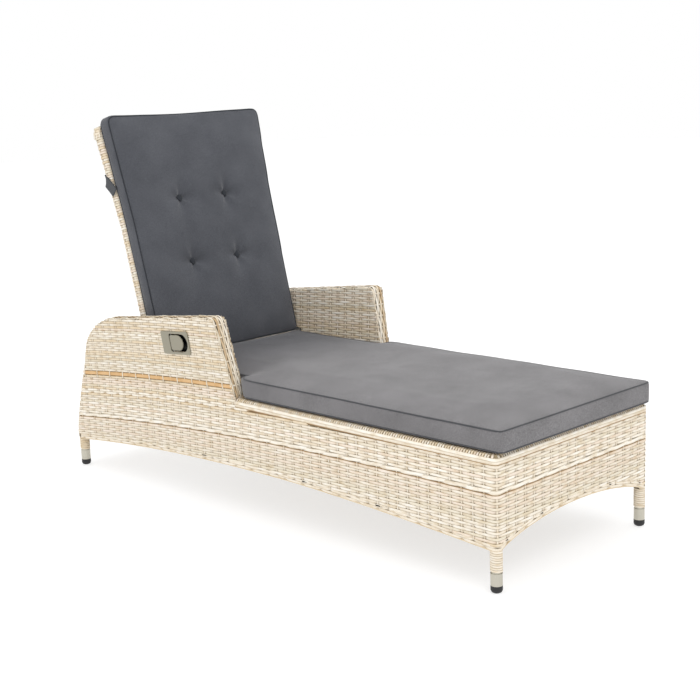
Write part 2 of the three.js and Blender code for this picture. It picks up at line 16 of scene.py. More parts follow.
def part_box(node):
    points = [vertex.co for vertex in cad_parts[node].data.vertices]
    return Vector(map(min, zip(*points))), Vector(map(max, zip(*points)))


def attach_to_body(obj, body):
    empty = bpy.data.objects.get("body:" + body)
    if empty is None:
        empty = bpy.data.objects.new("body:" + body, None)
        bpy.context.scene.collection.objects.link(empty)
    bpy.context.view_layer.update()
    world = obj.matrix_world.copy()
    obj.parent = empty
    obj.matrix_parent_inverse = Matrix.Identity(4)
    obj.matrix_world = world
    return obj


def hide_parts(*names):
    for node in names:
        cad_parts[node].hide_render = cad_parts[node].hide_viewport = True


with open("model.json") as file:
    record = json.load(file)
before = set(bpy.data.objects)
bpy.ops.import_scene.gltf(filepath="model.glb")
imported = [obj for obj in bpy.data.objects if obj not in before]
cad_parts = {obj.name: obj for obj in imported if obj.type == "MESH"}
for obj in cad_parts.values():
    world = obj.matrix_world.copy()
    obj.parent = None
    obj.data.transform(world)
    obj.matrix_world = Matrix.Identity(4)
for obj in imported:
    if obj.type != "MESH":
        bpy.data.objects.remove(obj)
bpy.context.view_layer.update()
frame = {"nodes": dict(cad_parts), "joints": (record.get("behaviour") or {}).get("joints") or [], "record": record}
MM = 0.001


# ---- Places taken from the frame
def centre(node):
    low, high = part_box(node)
    return (low + high) / 2


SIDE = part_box("skirt_side_right")
HALF_WIDTH = 6 * MM - SIDE[1].x     # outer face of the side walls
FOOT_Y = SIDE[0].y                  # foot and head ends of the base
HEAD_Y = SIDE[1].y
LENGTH = HEAD_Y - FOOT_Y
MID_Y = (FOOT_Y + HEAD_Y) / 2
RIM_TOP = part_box("rim_side_right")[1].z
RIM_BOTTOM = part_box("rim_side_right")[0].z
ARM_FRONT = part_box("rim_side_right")[1].y + 2 * MM
ARM_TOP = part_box("arm_wicker_right")[1].z
joint = {j["name"]: j for j in frame["joints"]}
PIVOT = Vector(joint["recline"]["pos_m"])
RECLINE = math.radians(76.3)        # the raised back's slope
PLATE_MIDDLE = centre("lever_plate")
PLATE_TILT = math.radians(4.5)      # the plate's foot end is a little higher


# ---- Camera, lights and floor
def add_object(name, data):
    item = bpy.data.objects.new(name, data)
    bpy.context.scene.collection.objects.link(item)
    return item


def add_camera():
    azimuth, elevation, roll = (math.radians(a) for a in (-44.716, 11.597, -2.0885))
    target = Vector((-0.2472, -0.3405 + MID_Y, 0.5534))
    distance = 3.715
    flat = math.cos(elevation)
    back = Vector((math.sin(azimuth) * flat, -math.cos(azimuth) * flat, math.sin(elevation)))
    level = Vector((math.cos(azimuth), math.sin(azimuth), 0))
    upright = back.cross(level)
    right = level * math.cos(roll) + upright * math.sin(roll)
    up = upright * math.cos(roll) - level * math.sin(roll)
    data = bpy.data.cameras.new("camera")
    data.sensor_width = 36
    data.lens = 66.82
    camera = add_object("camera", data)
    turned = Matrix((right, up, back)).transposed().to_4x4()
    camera.matrix_world = Matrix.Translation(target + back * distance) @ turned
    bpy.context.scene.camera = camera


def add_area(name, place, aim, size, power, color=(1, 1, 1)):
    data = bpy.data.lights.new(name, "AREA")
    data.shape = "DISK"
    data.size = size
    data.energy = power
    data.color = color
    light = add_object(name, data)
    light.location = place
    light.rotation_euler = (Vector(aim) - Vector(place)).to_track_quat("-Z", "Y").to_euler()


def add_studio():
    scene = bpy.context.scene
    scene.view_settings.view_transform = "Standard"
    world = bpy.data.worlds.new("studio")
    world.use_nodes = True
    background = world.node_tree.nodes["Background"].inputs
    background["Color"].default_value = (1, 1, 1, 1)
    background["Strength"].default_value = 1.0
    scene.world = world
    middle = (0, 0, 0.45)
    add_area("key", (-1.6, -2.9, 3.2), middle, 2.0, 36, (1, 0.99, 0.97))
    add_area("top", (0.6, 0.2, 4.0), middle, 3.0, 20)
    add_area("fill", (-3.4, 1.4, 1.6), middle, 2.4, 8)
    bpy.ops.mesh.primitive_plane_add(size=40, location=(0, 0, -0.5 * MM))
    floor = bpy.context.object
    floor.name = "floor"
    paper = plain("floor_paint", (0.42, 0.42, 0.42), 0.9)
    glow = paper.node_tree.nodes["Principled BSDF"].inputs
    glow["Emission Color"].default_value = (1, 1, 1, 1)
    glow["Emission Strength"].default_value = 0.66
    floor.data.materials.append(paper)


# ---- Materials
def srgb(*values):
    """Linear colour of three numbers from 0 to 255."""
    return tuple(v / 12.92 if v <= 0.04045 else ((v + 0.055) / 1.055) ** 2.4
                 for v in (x / 255 for x in values))


class Nodes:
    """Short calls for building one node tree."""

    def __init__(self, name):
        self.material = bpy.data.materials.new(name)
        self.material.use_nodes = True
        self.tree = self.material.node_tree
        self.shader = self.tree.nodes["Principled BSDF"]

    def link(self, source, target):
        self.tree.links.new(source, target)

    def feed(self, socket, value):
        """Links an output to a socket, or sets a number, a vector or a colour on it."""
        if isinstance(value, (int, float)):
            socket.default_value = value
        elif isinstance(value, tuple):
            socket.default_value = (*value, 1)[:len(socket.default_value)]
        else:
            self.link(value, socket)

    def add(self, kind, feeds=(), **settings):
        node = self.tree.nodes.new(kind)
        for key, value in settings.items():
            setattr(node, key, value)
        for key, value in dict(feeds).items():
            self.feed(node.inputs[key], value)
        return node

    def set(self, **values):
        for key, value in values.items():
            self.shader.inputs[key.replace("_", " ")].default_value = value

    def math(self, operation, a, b=0.0):
        return self.add("ShaderNodeMath", {0: a, 1: b}, operation=operation).outputs[0]

    def noise(self, vector, scale, detail=2.0, roughness=0.5):
        feeds = {"Vector": vector, "Scale": scale, "Detail": detail, "Roughness": roughness}
        return self.add("ShaderNodeTexNoise", feeds).outputs["Fac"]

    def ramp(self, factor, *stops):
        node = self.add("ShaderNodeValToRGB", {"Fac": factor})
        while len(node.color_ramp.elements) < len(stops):
            node.color_ramp.elements.new(0.5)
        for element, (position, color) in zip(node.color_ramp.elements, stops):
            element.position = position
            element.color = (*color, 1)
        return node.outputs["Color"]

    def mix(self, factor, a, b, blend="MIX"):
        node = self.add("ShaderNodeMix", data_type="RGBA", blend_type=blend)
        for key, value in (("Factor", factor), ("A", a), ("B", b)):
            self.feed(node.inputs[key], value)
        return node.outputs["Result"]

    def scaled(self, vector, scale, rotation=(0, 0, 0)):
        feeds = {"Vector": vector, "Scale": scale, "Rotation": rotation}
        return self.add("ShaderNodeMapping", feeds).outputs["Vector"]

    def bump(self, height, strength, distance):
        node = self.add("ShaderNodeBump", {"Height": height, "Strength": strength, "Distance": distance})
        self.link(node.outputs["Normal"], self.shader.inputs["Normal"])

    def times(self, a, b):
        return self.math("MULTIPLY", a, b)

    def plus(self, first, *others):
        for other in others:
            first = self.math("ADD", first, other)
        return first

    def coordinates(self):
        return self.add("ShaderNodeTexCoord").outputs["Object"]

    def axis(self, vector, name):
        return self.add("ShaderNodeSeparateXYZ", {0: vector}).outputs[name]

    def wave(self, vector, name, pitch):
        return self.math("SINE", self.times(self.axis(vector, name), 2 * math.pi / pitch))

    def color(self, source):
        self.link(source, self.shader.inputs["Base Color"])


def plain(name, color, roughness):
    """A painted or moulded surface with a faint grain."""
    n = Nodes(name)
    grain = n.noise(n.coordinates(), 900.0)
    n.color(n.mix(grain, tuple(c * 0.94 for c in color), tuple(min(1.0, c * 1.04) for c in color)))
    n.set(Roughness=roughness)
    n.bump(grain, 0.15, 0.1 * MM)
    return n.material


def strand_material(name):
    """Extruded resin strand: its own tint with painted shade at its edges and recesses, fine streaks along it and
    faint mottled patches.
    """
    n = Nodes(name)
    tint = n.add("ShaderNodeAttribute", attribute_name="tint").outputs["Color"]
    strand = n.add("ShaderNodeAttribute", attribute_name="strand").outputs["Vector"]
    streak = n.noise(n.scaled(strand, (9.0, 700.0, 1.0)), 1.0, 3.0, 0.6)
    patch = n.noise(n.scaled(strand, (26.0, 40.0, 1.0)), 1.0, 2.0, 0.6)
    lines = n.ramp(streak, (0.25, srgb(230, 220, 203)), (0.6, (1.0, 1.0, 1.0)))
    mottle = n.ramp(patch, (0.3, srgb(234, 224, 207)), (0.5, srgb(250, 247, 241)), (0.7, (1.0, 1.0, 1.0)))
    n.color(n.mix(1.0, n.mix(1.0, tint, lines, "MULTIPLY"), mottle, "MULTIPLY"))
    n.set(Roughness=0.6, Specular_IOR_Level=0.25)
    n.bump(streak, 0.25, 0.2 * MM)
    return n.material


def painted_shade_liner_material():
    """Painted shade: a dark sheet for the shadowed inner side of the weave, seen only through its gaps and from
    below.
    """
    n = Nodes("weave_liner_painted_shade")
    place = n.coordinates()
    rows = n.wave(place, "Z", PITCH)
    stakes = n.wave(place, "Y", STAKE)
    grain = n.noise(place, 120.0, 3.0)
    height = n.plus(n.times(rows, 0.6), n.times(stakes, 0.4))
    shade = n.plus(n.times(height, 0.2), grain)
    n.color(n.ramp(shade, (0.25, srgb(120, 102, 76)), (0.75, srgb(188, 168, 134))))
    n.set(Roughness=0.75)
    n.bump(height, 0.6, 1.2 * MM)
    return n.material


def fabric_material(name, dark, light, tilt=0.0, pitch=1.3 * MM, shaded=False):
    """Melange canvas: fine plain weave, flecked yarns and slow colour drift."""
    n = Nodes(name)
    place = n.scaled(n.coordinates(), (1, 1, 1), (tilt, 0, 0))
    x, y, z = (n.wave(place, axis, pitch) for axis in "XYZ")
    weave = n.plus(n.times(x, y), n.times(y, z), n.times(x, z))
    fleck = n.noise(n.scaled(place, (1500.0, 260.0, 1500.0)), 1.0, 3.0, 0.7)
    cross = n.noise(n.scaled(place, (260.0, 1500.0, 260.0)), 1.0, 3.0, 0.7)
    drift = n.noise(place, 9.0, 3.0)
    mixed = n.plus(n.times(fleck, 0.55), n.times(cross, 0.55), n.times(drift, 0.22))
    color = n.ramp(mixed, (0.46, dark), (0.82, light))
    if shaded:                      # painted shade: the seat's colour darkens towards the back, standing in for the back's shadow on it
        reach = {"Value": n.axis(n.coordinates(), "Y"), "From Min": 0.36, "From Max": -0.14}
        painted_shade_blend = n.add("ShaderNodeMapRange", reach, interpolation_type="SMOOTHSTEP")
        darker = n.mix(1.0, color, (0.27, 0.285, 0.33), "MULTIPLY")
        color = n.mix(painted_shade_blend.outputs["Result"], darker, color)
    n.color(color)
    n.set(Roughness=0.92, Specular_IOR_Level=0.2, Sheen_Weight=0.25, Sheen_Roughness=0.45)
    n.bump(weave, 0.35, 0.25 * MM)
    return n.material


def metal_material(name, color, roughness, stretch=(1.0, 1.0, 1.0)):
    """Brushed metal: fine grain in its tone and gloss."""
    n = Nodes(name)
    brushed = n.noise(n.scaled(n.coordinates(), tuple(700.0 * s for s in stretch)), 1.0, 3.0, 0.6)
    n.color(n.mix(brushed, tuple(c * 0.8 for c in color), color))
    n.set(Metallic=1.0)
    span = {"Value": brushed, "To Min": roughness * 0.75, "To Max": roughness * 1.3}
    rough = n.add("ShaderNodeMapRange", span)
    n.link(rough.outputs["Result"], n.shader.inputs["Roughness"])
    n.bump(brushed, 0.2, 0.08 * MM)
    return n.material


# ---- Strands
CREAM = srgb(241, 235, 225)
WHITE = srgb(248, 245, 239)
TAN = srgb(234, 222, 202)
PINKISH = srgb(240, 230, 220)
SAGE = srgb(237, 232, 220)
ORANGE = srgb(222, 186, 140)
BROWN = srgb(176, 148, 114)
SEAM = srgb(208, 186, 156)
RECESS_SHADE = srgb(166, 144, 114)        # painted shade: darker tone given to a weaver where it goes in behind a stake, for the shadow in that hollow
PALETTE = (CREAM, WHITE, CREAM, TAN, PINKISH, SAGE)
rng = np.random.default_rng(7)


def unit(vectors):
    return vectors / np.linalg.norm(vectors, axis=-1, keepdims=True)


def xyz(*parts):
    """Points or directions from their coordinates, each an array or one number for all."""
    return np.stack(np.broadcast_arrays(*parts), -1)


def distances(points):
    """Distance travelled at each point of a line."""
    return np.concatenate([[0], np.cumsum(np.linalg.norm(np.diff(points, axis=0), axis=1))])


def attach(piece, body):
    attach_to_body(piece, body)


def smooth_shade(piece):
    piece.data.polygons.foreach_set("use_smooth", np.ones(len(piece.data.polygons), dtype=bool))


class Strands:
    """Collects closed ribbons and makes one mesh of them."""

    SECTION = np.array([(-0.5, 0), (-0.3, 0.5), (0.3, 0.5), (0.5, 0), (0.3, -0.5), (-0.3, -0.5)])
    # Painted shade: the ribbon's side edges and underside are darkened, for the shadow between rows and behind the
    # strand.
    EDGE_SHADE = np.array([(0.78, 0.73, 0.64), (1, 1, 1), (1, 1, 1), (0.78, 0.73, 0.64),
                     (0.8, 0.76, 0.7), (0.8, 0.76, 0.7)])

    def __init__(self):
        self.co, self.quads, self.info, self.tint = [], [], [], []
        self.count = 0

    def add(self, centre_line, normals, width, thickness, tint, closed=False):
        """One ribbon along a line, flat to its normals, with a tint that may change along it."""
        p, nrm = np.asarray(centre_line), unit(np.asarray(normals))
        tangent = np.roll(p, -1, 0) - np.roll(p, 1, 0) if closed else np.gradient(p, axis=0)
        across = unit(np.cross(nrm, unit(tangent)))
        nrm = unit(np.cross(tangent, across))
        a, b = self.SECTION[:, 0] * width, self.SECTION[:, 1] * thickness
        ring = p[:, None] + a[None, :, None] * across[:, None] + b[None, :, None] * nrm[:, None]
        count, k = len(p), len(a)
        i = np.arange(count if closed else count - 1)[:, None]
        j = np.arange(k)[None, :]
        here, there = i * k, ((i + 1) % count) * k
        quads = np.stack([here + j, here + (j + 1) % k, there + (j + 1) % k, there + j], -1).reshape(-1, 4)
        if not closed:
            last = (count - 1) * k
            caps = np.array([[3, 2, 1, 0], [5, 4, 3, 0], [last, last + 1, last + 2, last + 3],
                             [last, last + 3, last + 4, last + 5]])
            quads = np.concatenate([quads, caps])
        along = distances(p) + rng.uniform(0, 50)
        over = np.tile(a, count) + rng.uniform(0, 9)
        self.co.append(ring.reshape(-1, 3))
        self.info.append(xyz(np.repeat(along, k), over, 0.0))
        tone = np.broadcast_to(np.asarray(tint, float), (count, 3))[:, None] * self.EDGE_SHADE[None]
        self.tint.append(np.concatenate([tone.reshape(-1, 3), np.ones((count * k, 1))], 1))
        self.quads.append(quads + self.count)
        self.count += count * k

    def build(self, name, material, body="base"):
        """The mesh of all ribbons, riding on a body."""
        co, quads = np.concatenate(self.co), np.concatenate(self.quads)
        mesh = bpy.data.meshes.new(name)
        mesh.vertices.add(len(co))
        mesh.vertices.foreach_set("co", co.astype(np.float32).ravel())
        mesh.loops.add(quads.size)
        mesh.loops.foreach_set("vertex_index", quads.astype(np.int32).ravel())
        mesh.polygons.add(len(quads))
        mesh.polygons.foreach_set("loop_start", np.arange(0, quads.size, 4, dtype=np.int32))
        mesh.update(calc_edges=True)
        strand = mesh.attributes.new("strand", "FLOAT_VECTOR", "POINT")
        strand.data.foreach_set("vector", np.concatenate(self.info).astype(np.float32).ravel())
        tint = mesh.attributes.new("tint", "FLOAT_COLOR", "POINT")
        tint.data.foreach_set("color", np.concatenate(self.tint).astype(np.float32).ravel())
        mesh.materials.append(material)
        piece = add_object(name, mesh)
        smooth_shade(piece)
        attach(piece, body)
        return piece


STAKE = 38 * MM                 # spacing of the stakes
PITCH = 8 * MM                  # spacing of the rows
RIBBON = (8.3 * MM, 1.5 * MM)   # a weaver's width and thickness
UPRIGHT = (5.6 * MM, 1.4 * MM)  # a stake's width and thickness
LIFT = 1.6 * MM                 # how far a weaver swings to pass a stake
POINTS = np.array((0.0, 0.12, 0.28, 0.5, 0.72, 0.88))   # a weaver's points from one stake to the next
STEPS = 4                       # points of an edge strand in the length of a stake's spacing


def row_tints(number):
    return [PALETTE[i] for i in rng.integers(0, len(PALETTE), number)]


def varied(tint, spread=0.035):
    return tuple(np.clip(np.array(tint) * rng.uniform(1 - spread, 1 + spread / 2), 0, 1))


def runs(inside):
    """Sample numbers along each stretch of a sampled line where inside is positive."""
    sign = np.concatenate([[False], inside > 0, [False]])
    starts = np.nonzero(~sign[:-1] & sign[1:])[0]
    ends = np.nonzero(sign[:-1] & ~sign[1:])[0] - 1
    last = len(inside) - 1
    for first, final in zip(starts, ends):
        start, end = float(first), float(final)
        if first > 0:
            start -= inside[first] / (inside[first] - inside[first - 1])
        if final < last:
            end += inside[final] / (inside[final] - inside[final + 1])
        if end - start >= 1.5:
            between = np.arange(math.ceil(start), math.floor(end) + 1)
            yield np.unique(np.concatenate([[start], between, [end]]))


def spacing(span):
    """Distance between stakes that divides a wall evenly."""
    return span / max(1, int(round(span / STAKE)))


def samples(span):
    """A weaver's points along a wall: a few from each stake to the next."""
    number = int(round(span / spacing(span)))
    return np.append((np.arange(number)[:, None] + POINTS).ravel(), number) * spacing(span)


def over_under(turn, row):
    """A weaver's swing at a stake number: out over the stakes, and in behind every second one."""
    return LIFT * (1 - 2 * np.exp(-(np.abs((turn + row) % 2 - 1) / 0.19) ** 2))


def lay_row(strands, surface, s, height, inside, swing, width, tint, thickness=RIBBON[1], recess_shade=0.0):
    """One strand along a wall, wherever it is inside. swing(s) is its lift."""
    for index in runs(inside(s, height(s))):
        at = np.interp(index, np.arange(len(s)), s)
        place, normal = surface(at, height(at))
        lift = swing(at)
        # Painted shade: the tone is darkened where the weaver swings in behind a stake.
        depth = recess_shade * np.clip((LIFT - lift) / (2 * LIFT), 0, 1)[:, None]
        tone = np.array(varied(tint)) * (1 - depth) + np.array(RECESS_SHADE) * depth
        strands.add(place + normal * lift[:, None], normal, width, thickness, tone)


def weave_rows(strands, surface, span, levels, height, inside, tints, recess_shade=0.42):
    """Weavers over and under the stakes of a wall. surface(s, z) gives points and normals."""
    s = samples(span)
    for row, level in enumerate(levels):
        swing = lambda at, row=row: over_under(at / spacing(span), row)
        at_level = lambda at, level=level: height(at, level)
        lay_row(strands, surface, s, at_level, inside, swing, RIBBON[0], tints[row], recess_shade=recess_shade)


def weave_stakes(strands, surface, span, low, high, inside, every=1, out=0.2 * MM):
    """Upright stakes, one at each place where the weavers cross over."""
    number = int(round(span / spacing(span)))
    z = np.arange(low, high, 6 * MM)
    for i in range(0, number + 1, every):
        s = np.full(len(z), span * i / number)
        for index in runs(inside(s, z) + 2 * MM):
            place, normal = surface(np.full(len(index), s[0]), np.interp(index, np.arange(len(z)), z))
            strands.add(place + normal * out, normal, *UPRIGHT, varied(CREAM, 0.08))


# ---- Shape of the walls
CROWN_Y = MID_Y - 0.120
CORNER = 17 * MM
BULGE = 1.8 * MM                  # how far the weave stands out round the corner legs
WALL = HALF_WIDTH - 3.2 * MM      # middle of the weave in the side walls
END = 3.2 * MM                    # the same, in from the base's ends


def side_arch(y):
    foot = np.clip((CROWN_Y - y) / (CROWN_Y - FOOT_Y), 0, 1)
    head = np.clip((y - CROWN_Y) / (HEAD_Y - CROWN_Y), 0, 1)
    return 0.155 - 0.039 * foot ** 1.6 - 0.057 * head ** 2.25


def end_arch(x):
    return 0.117 + 0.053 * np.clip(1 - (x / 0.330) ** 2, 0, 1) ** 0.8


def rear_edge(z):
    return HEAD_Y - 0.02475 * MM * np.maximum(0, z / MM - 99) ** 1.427


def row_height(y, level):
    """Rows fall gently towards the head end."""
    return level - 0.080 * np.clip((y - FOOT_Y) / 1.840, 0, 1.05) ** 2.63


def arm_face(z, inner=False):
    above = np.maximum(z - RIM_TOP, 0)
    return 0.307 + 0.068 * above if inner else WALL + 0.10 * above


def bezier(points, count):
    t = np.linspace(0, 1, count)[:, None]
    a, b, c, d = (np.array(p) for p in points)
    return (1 - t) ** 3 * a + 3 * (1 - t) ** 2 * t * b + 3 * (1 - t) * t ** 2 * c + t ** 3 * d


def arm_outline():
    """The arm's edge in (y, z) from its lower front corner over the top and down to the leg."""
    front_top = np.array((ARM_FRONT + 0.227 * (ARM_TOP - RIM_TOP), ARM_TOP))
    shoulder_z = ARM_TOP - 0.0956 * (0.640 - 0.060)
    shoulder = np.array((MID_Y + 0.640, shoulder_z))
    start = np.array((ARM_FRONT, RIM_TOP))
    u = (front_top - start) / np.linalg.norm(front_top - start)
    v = (shoulder - front_top) / np.linalg.norm(shoulder - front_top)
    turn = bezier([front_top + step for step in (-0.030 * u, -0.008 * u, 0.008 * v, 0.030 * v)], 7)
    curve = bezier((shoulder, (MID_Y + 0.725, shoulder_z - 0.006), (MID_Y + 0.832, 0.508),
                    (float(rear_edge(0.419)), 0.419)), 24)
    z = np.linspace(0.419, 0.105, 26)[1:]
    down = xyz(rear_edge(z), z)
    return np.concatenate([[start], turn, curve, down])


OUTLINE = arm_outline()


def outline_top(y):
    """Height of the arm's edge above a point of the side wall."""
    top = OUTLINE[:np.argmax(OUTLINE[:, 0] > HEAD_Y - 0.09)]
    order = np.argsort(top[:, 0])
    return np.interp(y, top[order, 0], top[order, 1])


def front_edge(z):
    return ARM_FRONT + 0.227 * np.maximum(z - RIM_TOP, 0)


# ---- Woven base
STRAIGHT = LENGTH - END - CORNER        # plan lengths of a side wall, a corner and all the way round
BEND = CORNER * math.pi / 2
SPAN = 2 * (STRAIGHT + BEND + WALL - CORNER)


def around(s, z):
    """The outer walls: down the right side from the head, round the foot end, back up the left side."""
    near = np.minimum(s, SPAN - s)
    angle = np.interp(near, (STRAIGHT, STRAIGHT + BEND), (math.pi, 1.5 * math.pi))
    radius = CORNER + BULGE * np.sin(2 * (angle - math.pi))
    x = CORNER - WALL + radius * np.cos(angle) + np.maximum(near - STRAIGHT - BEND, 0)
    x -= np.where(near <= STRAIGHT, arm_face(z) - WALL, 0)
    y = FOOT_Y + END + CORNER + radius * np.sin(angle) + np.maximum(STRAIGHT - near, 0)
    side = np.where(2 * s <= SPAN, 1, -1)
    return xyz(side * x, y, z), xyz(side * np.cos(angle), np.sin(angle), 0.0)


LEVELS = np.arange(100 * MM, 690 * MM, PITCH)
WALE = (268 * MM, 276 * MM)         # two rows that give way to the white wale
BAND = (420 * MM, 428 * MM)         # two rows that give way to the orange band
DARK_LINES = (353 * MM, 367 * MM, 401 * MM, 575 * MM)
LIGHT_ROWS = {284 * MM: WHITE, 356 * MM: WHITE, 364 * MM: WHITE, 564 * MM: WHITE,
              476 * MM: TAN, 500 * MM: TAN}
BORDER = 11.5 * MM                  # height of the rows that follow the arches


def plan(s):
    place, _ = around(np.atleast_1d(s), np.full(np.size(s), 0.2))
    return place


def wall_bottom(s):
    place = plan(s)
    on_end = np.abs(place[:, 0]) < WALL - CORNER
    return np.where(on_end, end_arch(place[:, 0]), side_arch(place[:, 1]))


def off_plate(s, z):
    """Distance outside the patch of the right arm that the lever plate covers."""
    along = (HEAD_Y - s) - PLATE_MIDDLE.y
    up = z - PLATE_MIDDLE.z + along * math.tan(PLATE_TILT)
    away = np.maximum(np.abs(along) - 65 * MM, np.abs(up) - 31 * MM)
    return np.where(s < LENGTH / 2, away, 1.0)


def wall_inside(s, z):
    """Positive where a strand at height z belongs to the outer wall."""
    y = plan(s)[:, 1]
    below = z - wall_bottom(s) - BORDER
    rim = np.where(y < ARM_FRONT - 1 * MM, RIM_BOTTOM - 3 * MM - z, 1.0)
    arm = np.where(y >= ARM_FRONT - 1 * MM, outline_top(y) - 6 * MM - z, 1.0)
    front = np.where(z > RIM_BOTTOM - 3 * MM, (y - front_edge(z) - 4 * MM), 1.0)
    rear = rear_edge(z) - 4 * MM - y
    return np.minimum.reduce([below, rim, arm, front, rear, off_plate(s, z)])


def wall_height(s, level):
    return row_height(plan(s)[:, 1], level)


def add_outer_walls(material):
    """The base's sides and foot end with the arms' outer faces, woven as one run."""
    strands = Strands()
    kept = np.array([z for z in LEVELS if min(abs(z - gap) for gap in WALE + BAND) > 1 * MM])
    tints = row_tints(len(kept))
    for level, tint in LIGHT_ROWS.items():
        tints[int(np.argmin(np.abs(kept - level)))] = tint
    rows = np.rint((kept - LEVELS[0]) / PITCH).astype(int)
    s = samples(SPAN)

    def lay(level, swing, width, tint, thickness=RIBBON[1], recess_shade=0.0):
        height = lambda at: wall_height(at, level)
        lay_row(strands, around, s, height, wall_inside, swing, width, tint, thickness, recess_shade)

    gap = spacing(SPAN)
    for row, level, tint in zip(rows, kept, tints):
        lay(level, lambda at, row=row: over_under(at / gap, row), RIBBON[0], tint, recess_shade=0.42)
    middle = sum(WALE) / 2
    for phase in (0, math.pi):
        turn = lambda at, phase=phase: math.pi / 2 * (at / gap - 0.5) + phase
        slanted = lambda at, turn=turn: wall_height(at, middle + 1 * MM) + 1.6 * MM * np.sin(turn(at))
        out = lambda at, turn=turn: 2.1 * MM * np.cos(turn(at))
        lay_row(strands, around, s, slanted, wall_inside, out, 11.5 * MM, WHITE)
    # A brown strand under the white wale: partly the brown line there, partly painted shadow of the gap under the
    # wale.
    lay(middle - 7.2 * MM, lambda at: 0.4 * MM + 0 * at, 3.2 * MM, BROWN)
    lay(sum(BAND) / 2, lambda at: 0.9 * MM + 0 * at, 14 * MM, ORANGE)
    # Brown strands for the dark lines between rows: partly their own colour, partly painted shadow under the flat
    # rows above.
    for level in DARK_LINES:
        lay(level, lambda at: 1.1 * MM + 0 * at, 2.4 * MM, BROWN, 1.2 * MM)
    weave_stakes(strands, around, SPAN, 0.1, ARM_TOP + 0.02, wall_inside)
    near_band = lambda at, z: 9 * MM - np.abs(z - wall_height(at, sum(BAND) / 2))
    on_band = lambda at, z: np.minimum(near_band(at, z), wall_inside(at, z))
    weave_stakes(strands, around, SPAN, 0.3, 0.45, on_band, 2, 2.2 * MM)
    for offset, row in ((11 * MM, 1), (3.5 * MM, 0)):
        place, normal = around(s, wall_bottom(s) + offset)
        keep = (s > 12 * MM) & (s < SPAN - 12 * MM)
        place += normal * over_under(s / gap, row)[:, None]
        strands.add(place[keep], normal[keep], *RIBBON, varied(CREAM))
    fine = np.arange(12 * MM, SPAN - 12 * MM, 10 * MM)
    place, normal = around(fine, wall_bottom(fine) - 0.5 * MM)
    strands.add(place, normal - np.array((0, 0, 1.0)), 5.5 * MM, 4.4 * MM, varied(TAN))
    piece = strands.build("woven_walls", material)
    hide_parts("skirt_side_left", "skirt_side_right", "skirt_foot",
                "arm_wicker_left", "arm_wicker_right")


def add_inner_arms(material):
    """The weave on the arms' inner faces, with stronger painted shade where the weavers go in behind the stakes.
    """
    strands = Strands()
    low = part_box("seat_deck")[1].z
    start, end = ARM_FRONT, HEAD_Y - 0.03
    levels = np.arange(low + 0.01, ARM_TOP + 0.07, PITCH)
    tints = row_tints(len(levels))
    for sign in (-1, 1):
        def surface(s, z, sign=sign):
            return xyz(sign * (arm_face(z, True) + 2 * MM), start + s, z), xyz(-sign + 0 * s, 0.0, 0.0)

        def inside(s, z):
            y = start + s
            ends = np.minimum(y - front_edge(z), rear_edge(z) - y) - 4 * MM
            return np.minimum.reduce([z - low, outline_top(y) - 6 * MM - z, ends])

        height = lambda s, level: row_height(start + s, level)
        weave_rows(strands, surface, end - start, levels, height, inside, tints, recess_shade=0.9)
        weave_stakes(strands, surface, end - start, low, ARM_TOP + 0.02, inside)
    strands.build("woven_arm_insides", material)


def left_of(points):
    """Normals of a path in a plane, to the left of travel."""
    tangent = unit(np.gradient(points, axis=0))
    return xyz(-tangent[:, 1], tangent[:, 0])


def resample(points, spacing):
    """The same line with points evenly spaced along it."""
    length = distances(points)
    at = np.linspace(0, length[-1], max(2, int(round(length[-1] / spacing)) + 1))
    return xyz(*(np.interp(at, length, column) for column in points.T))


def add_arm_edges(material):
    """The band of lengthwise strands over the front, top and rear of each arm, bound by cross wraps."""
    strands = Strands()
    path = resample(OUTLINE, STAKE / STEPS)
    normal = left_of(path)
    normal = -normal if normal[0, 0] > 0 else normal
    columns = 6
    inner = arm_face(path[:, 1], True) + 1 * MM
    outer = arm_face(path[:, 1]) + 2 * MM
    width = float(np.mean(outer - inner)) / columns * 0.98

    def lay(sign, at, v, swing, lean, *look):
        """A strand at path points at, v of the way across the arm from its inner side."""
        lift = -3.2 * MM - 5.5 * MM * np.abs(2 * v - 1) ** 4 + swing
        x = inner[at] + (outer[at] - inner[at]) * v
        edge = path[at] + normal[at] * lift[:, None]
        face = np.broadcast_to(normal[at], edge.shape)
        lean = sign * lean * (2 * v - 1) ** 3
        strands.add(np.insert(edge, 0, sign * x, axis=1), np.insert(face, 0, lean, axis=1), *look)

    everywhere = np.arange(len(path))
    for sign in (-1, 1):
        for column in range(columns):
            swing = LIFT * np.cos(math.pi * (everywhere / STEPS + column))
            tint = SEAM if column == 4 else PALETTE[column % len(PALETTE)]
            lay(sign, everywhere, (column + 0.5) / columns, swing, 0.8, width, RIBBON[1], varied(tint))
        for i in range(0, len(path), STEPS):
            lay(sign, i, np.linspace(-0.02, 1.02, 9), 0.0, 1.0, 5.5 * MM, 1.7 * MM, varied(CREAM, 0.08))
    strands.build("woven_arm_edges", material)


def wrapped_roll(strands, start, end, radius, pitch, tints, segments=14, width=7.5 * MM):
    """A core wound with strand, as helices of a few turns each from start to end."""
    start, end = np.array(start, float), np.array(end, float)
    length = np.linalg.norm(end - start)
    axis = (end - start) / length
    side = unit(np.cross(axis, (0, 0, 1.0) if abs(axis[2]) < 0.9 else (1.0, 0, 0)))
    up = np.cross(side, axis)
    turns, each = length / pitch, 12
    reach = radius - width * 0.02
    for first in np.arange(0, turns, each):
        last = min(turns, first + each + 0.02)
        t = np.arange(int((last - first) * segments) + 1) / segments + first
        angle = 2 * math.pi * t
        radial = side[None] * np.cos(angle)[:, None] + up[None] * np.sin(angle)[:, None]
        if len(t) > 2:
            place = start + axis * (t * pitch)[:, None] + radial * reach
            strands.add(place, radial, width, 1.7 * MM, varied(tints[rng.integers(0, len(tints))]))


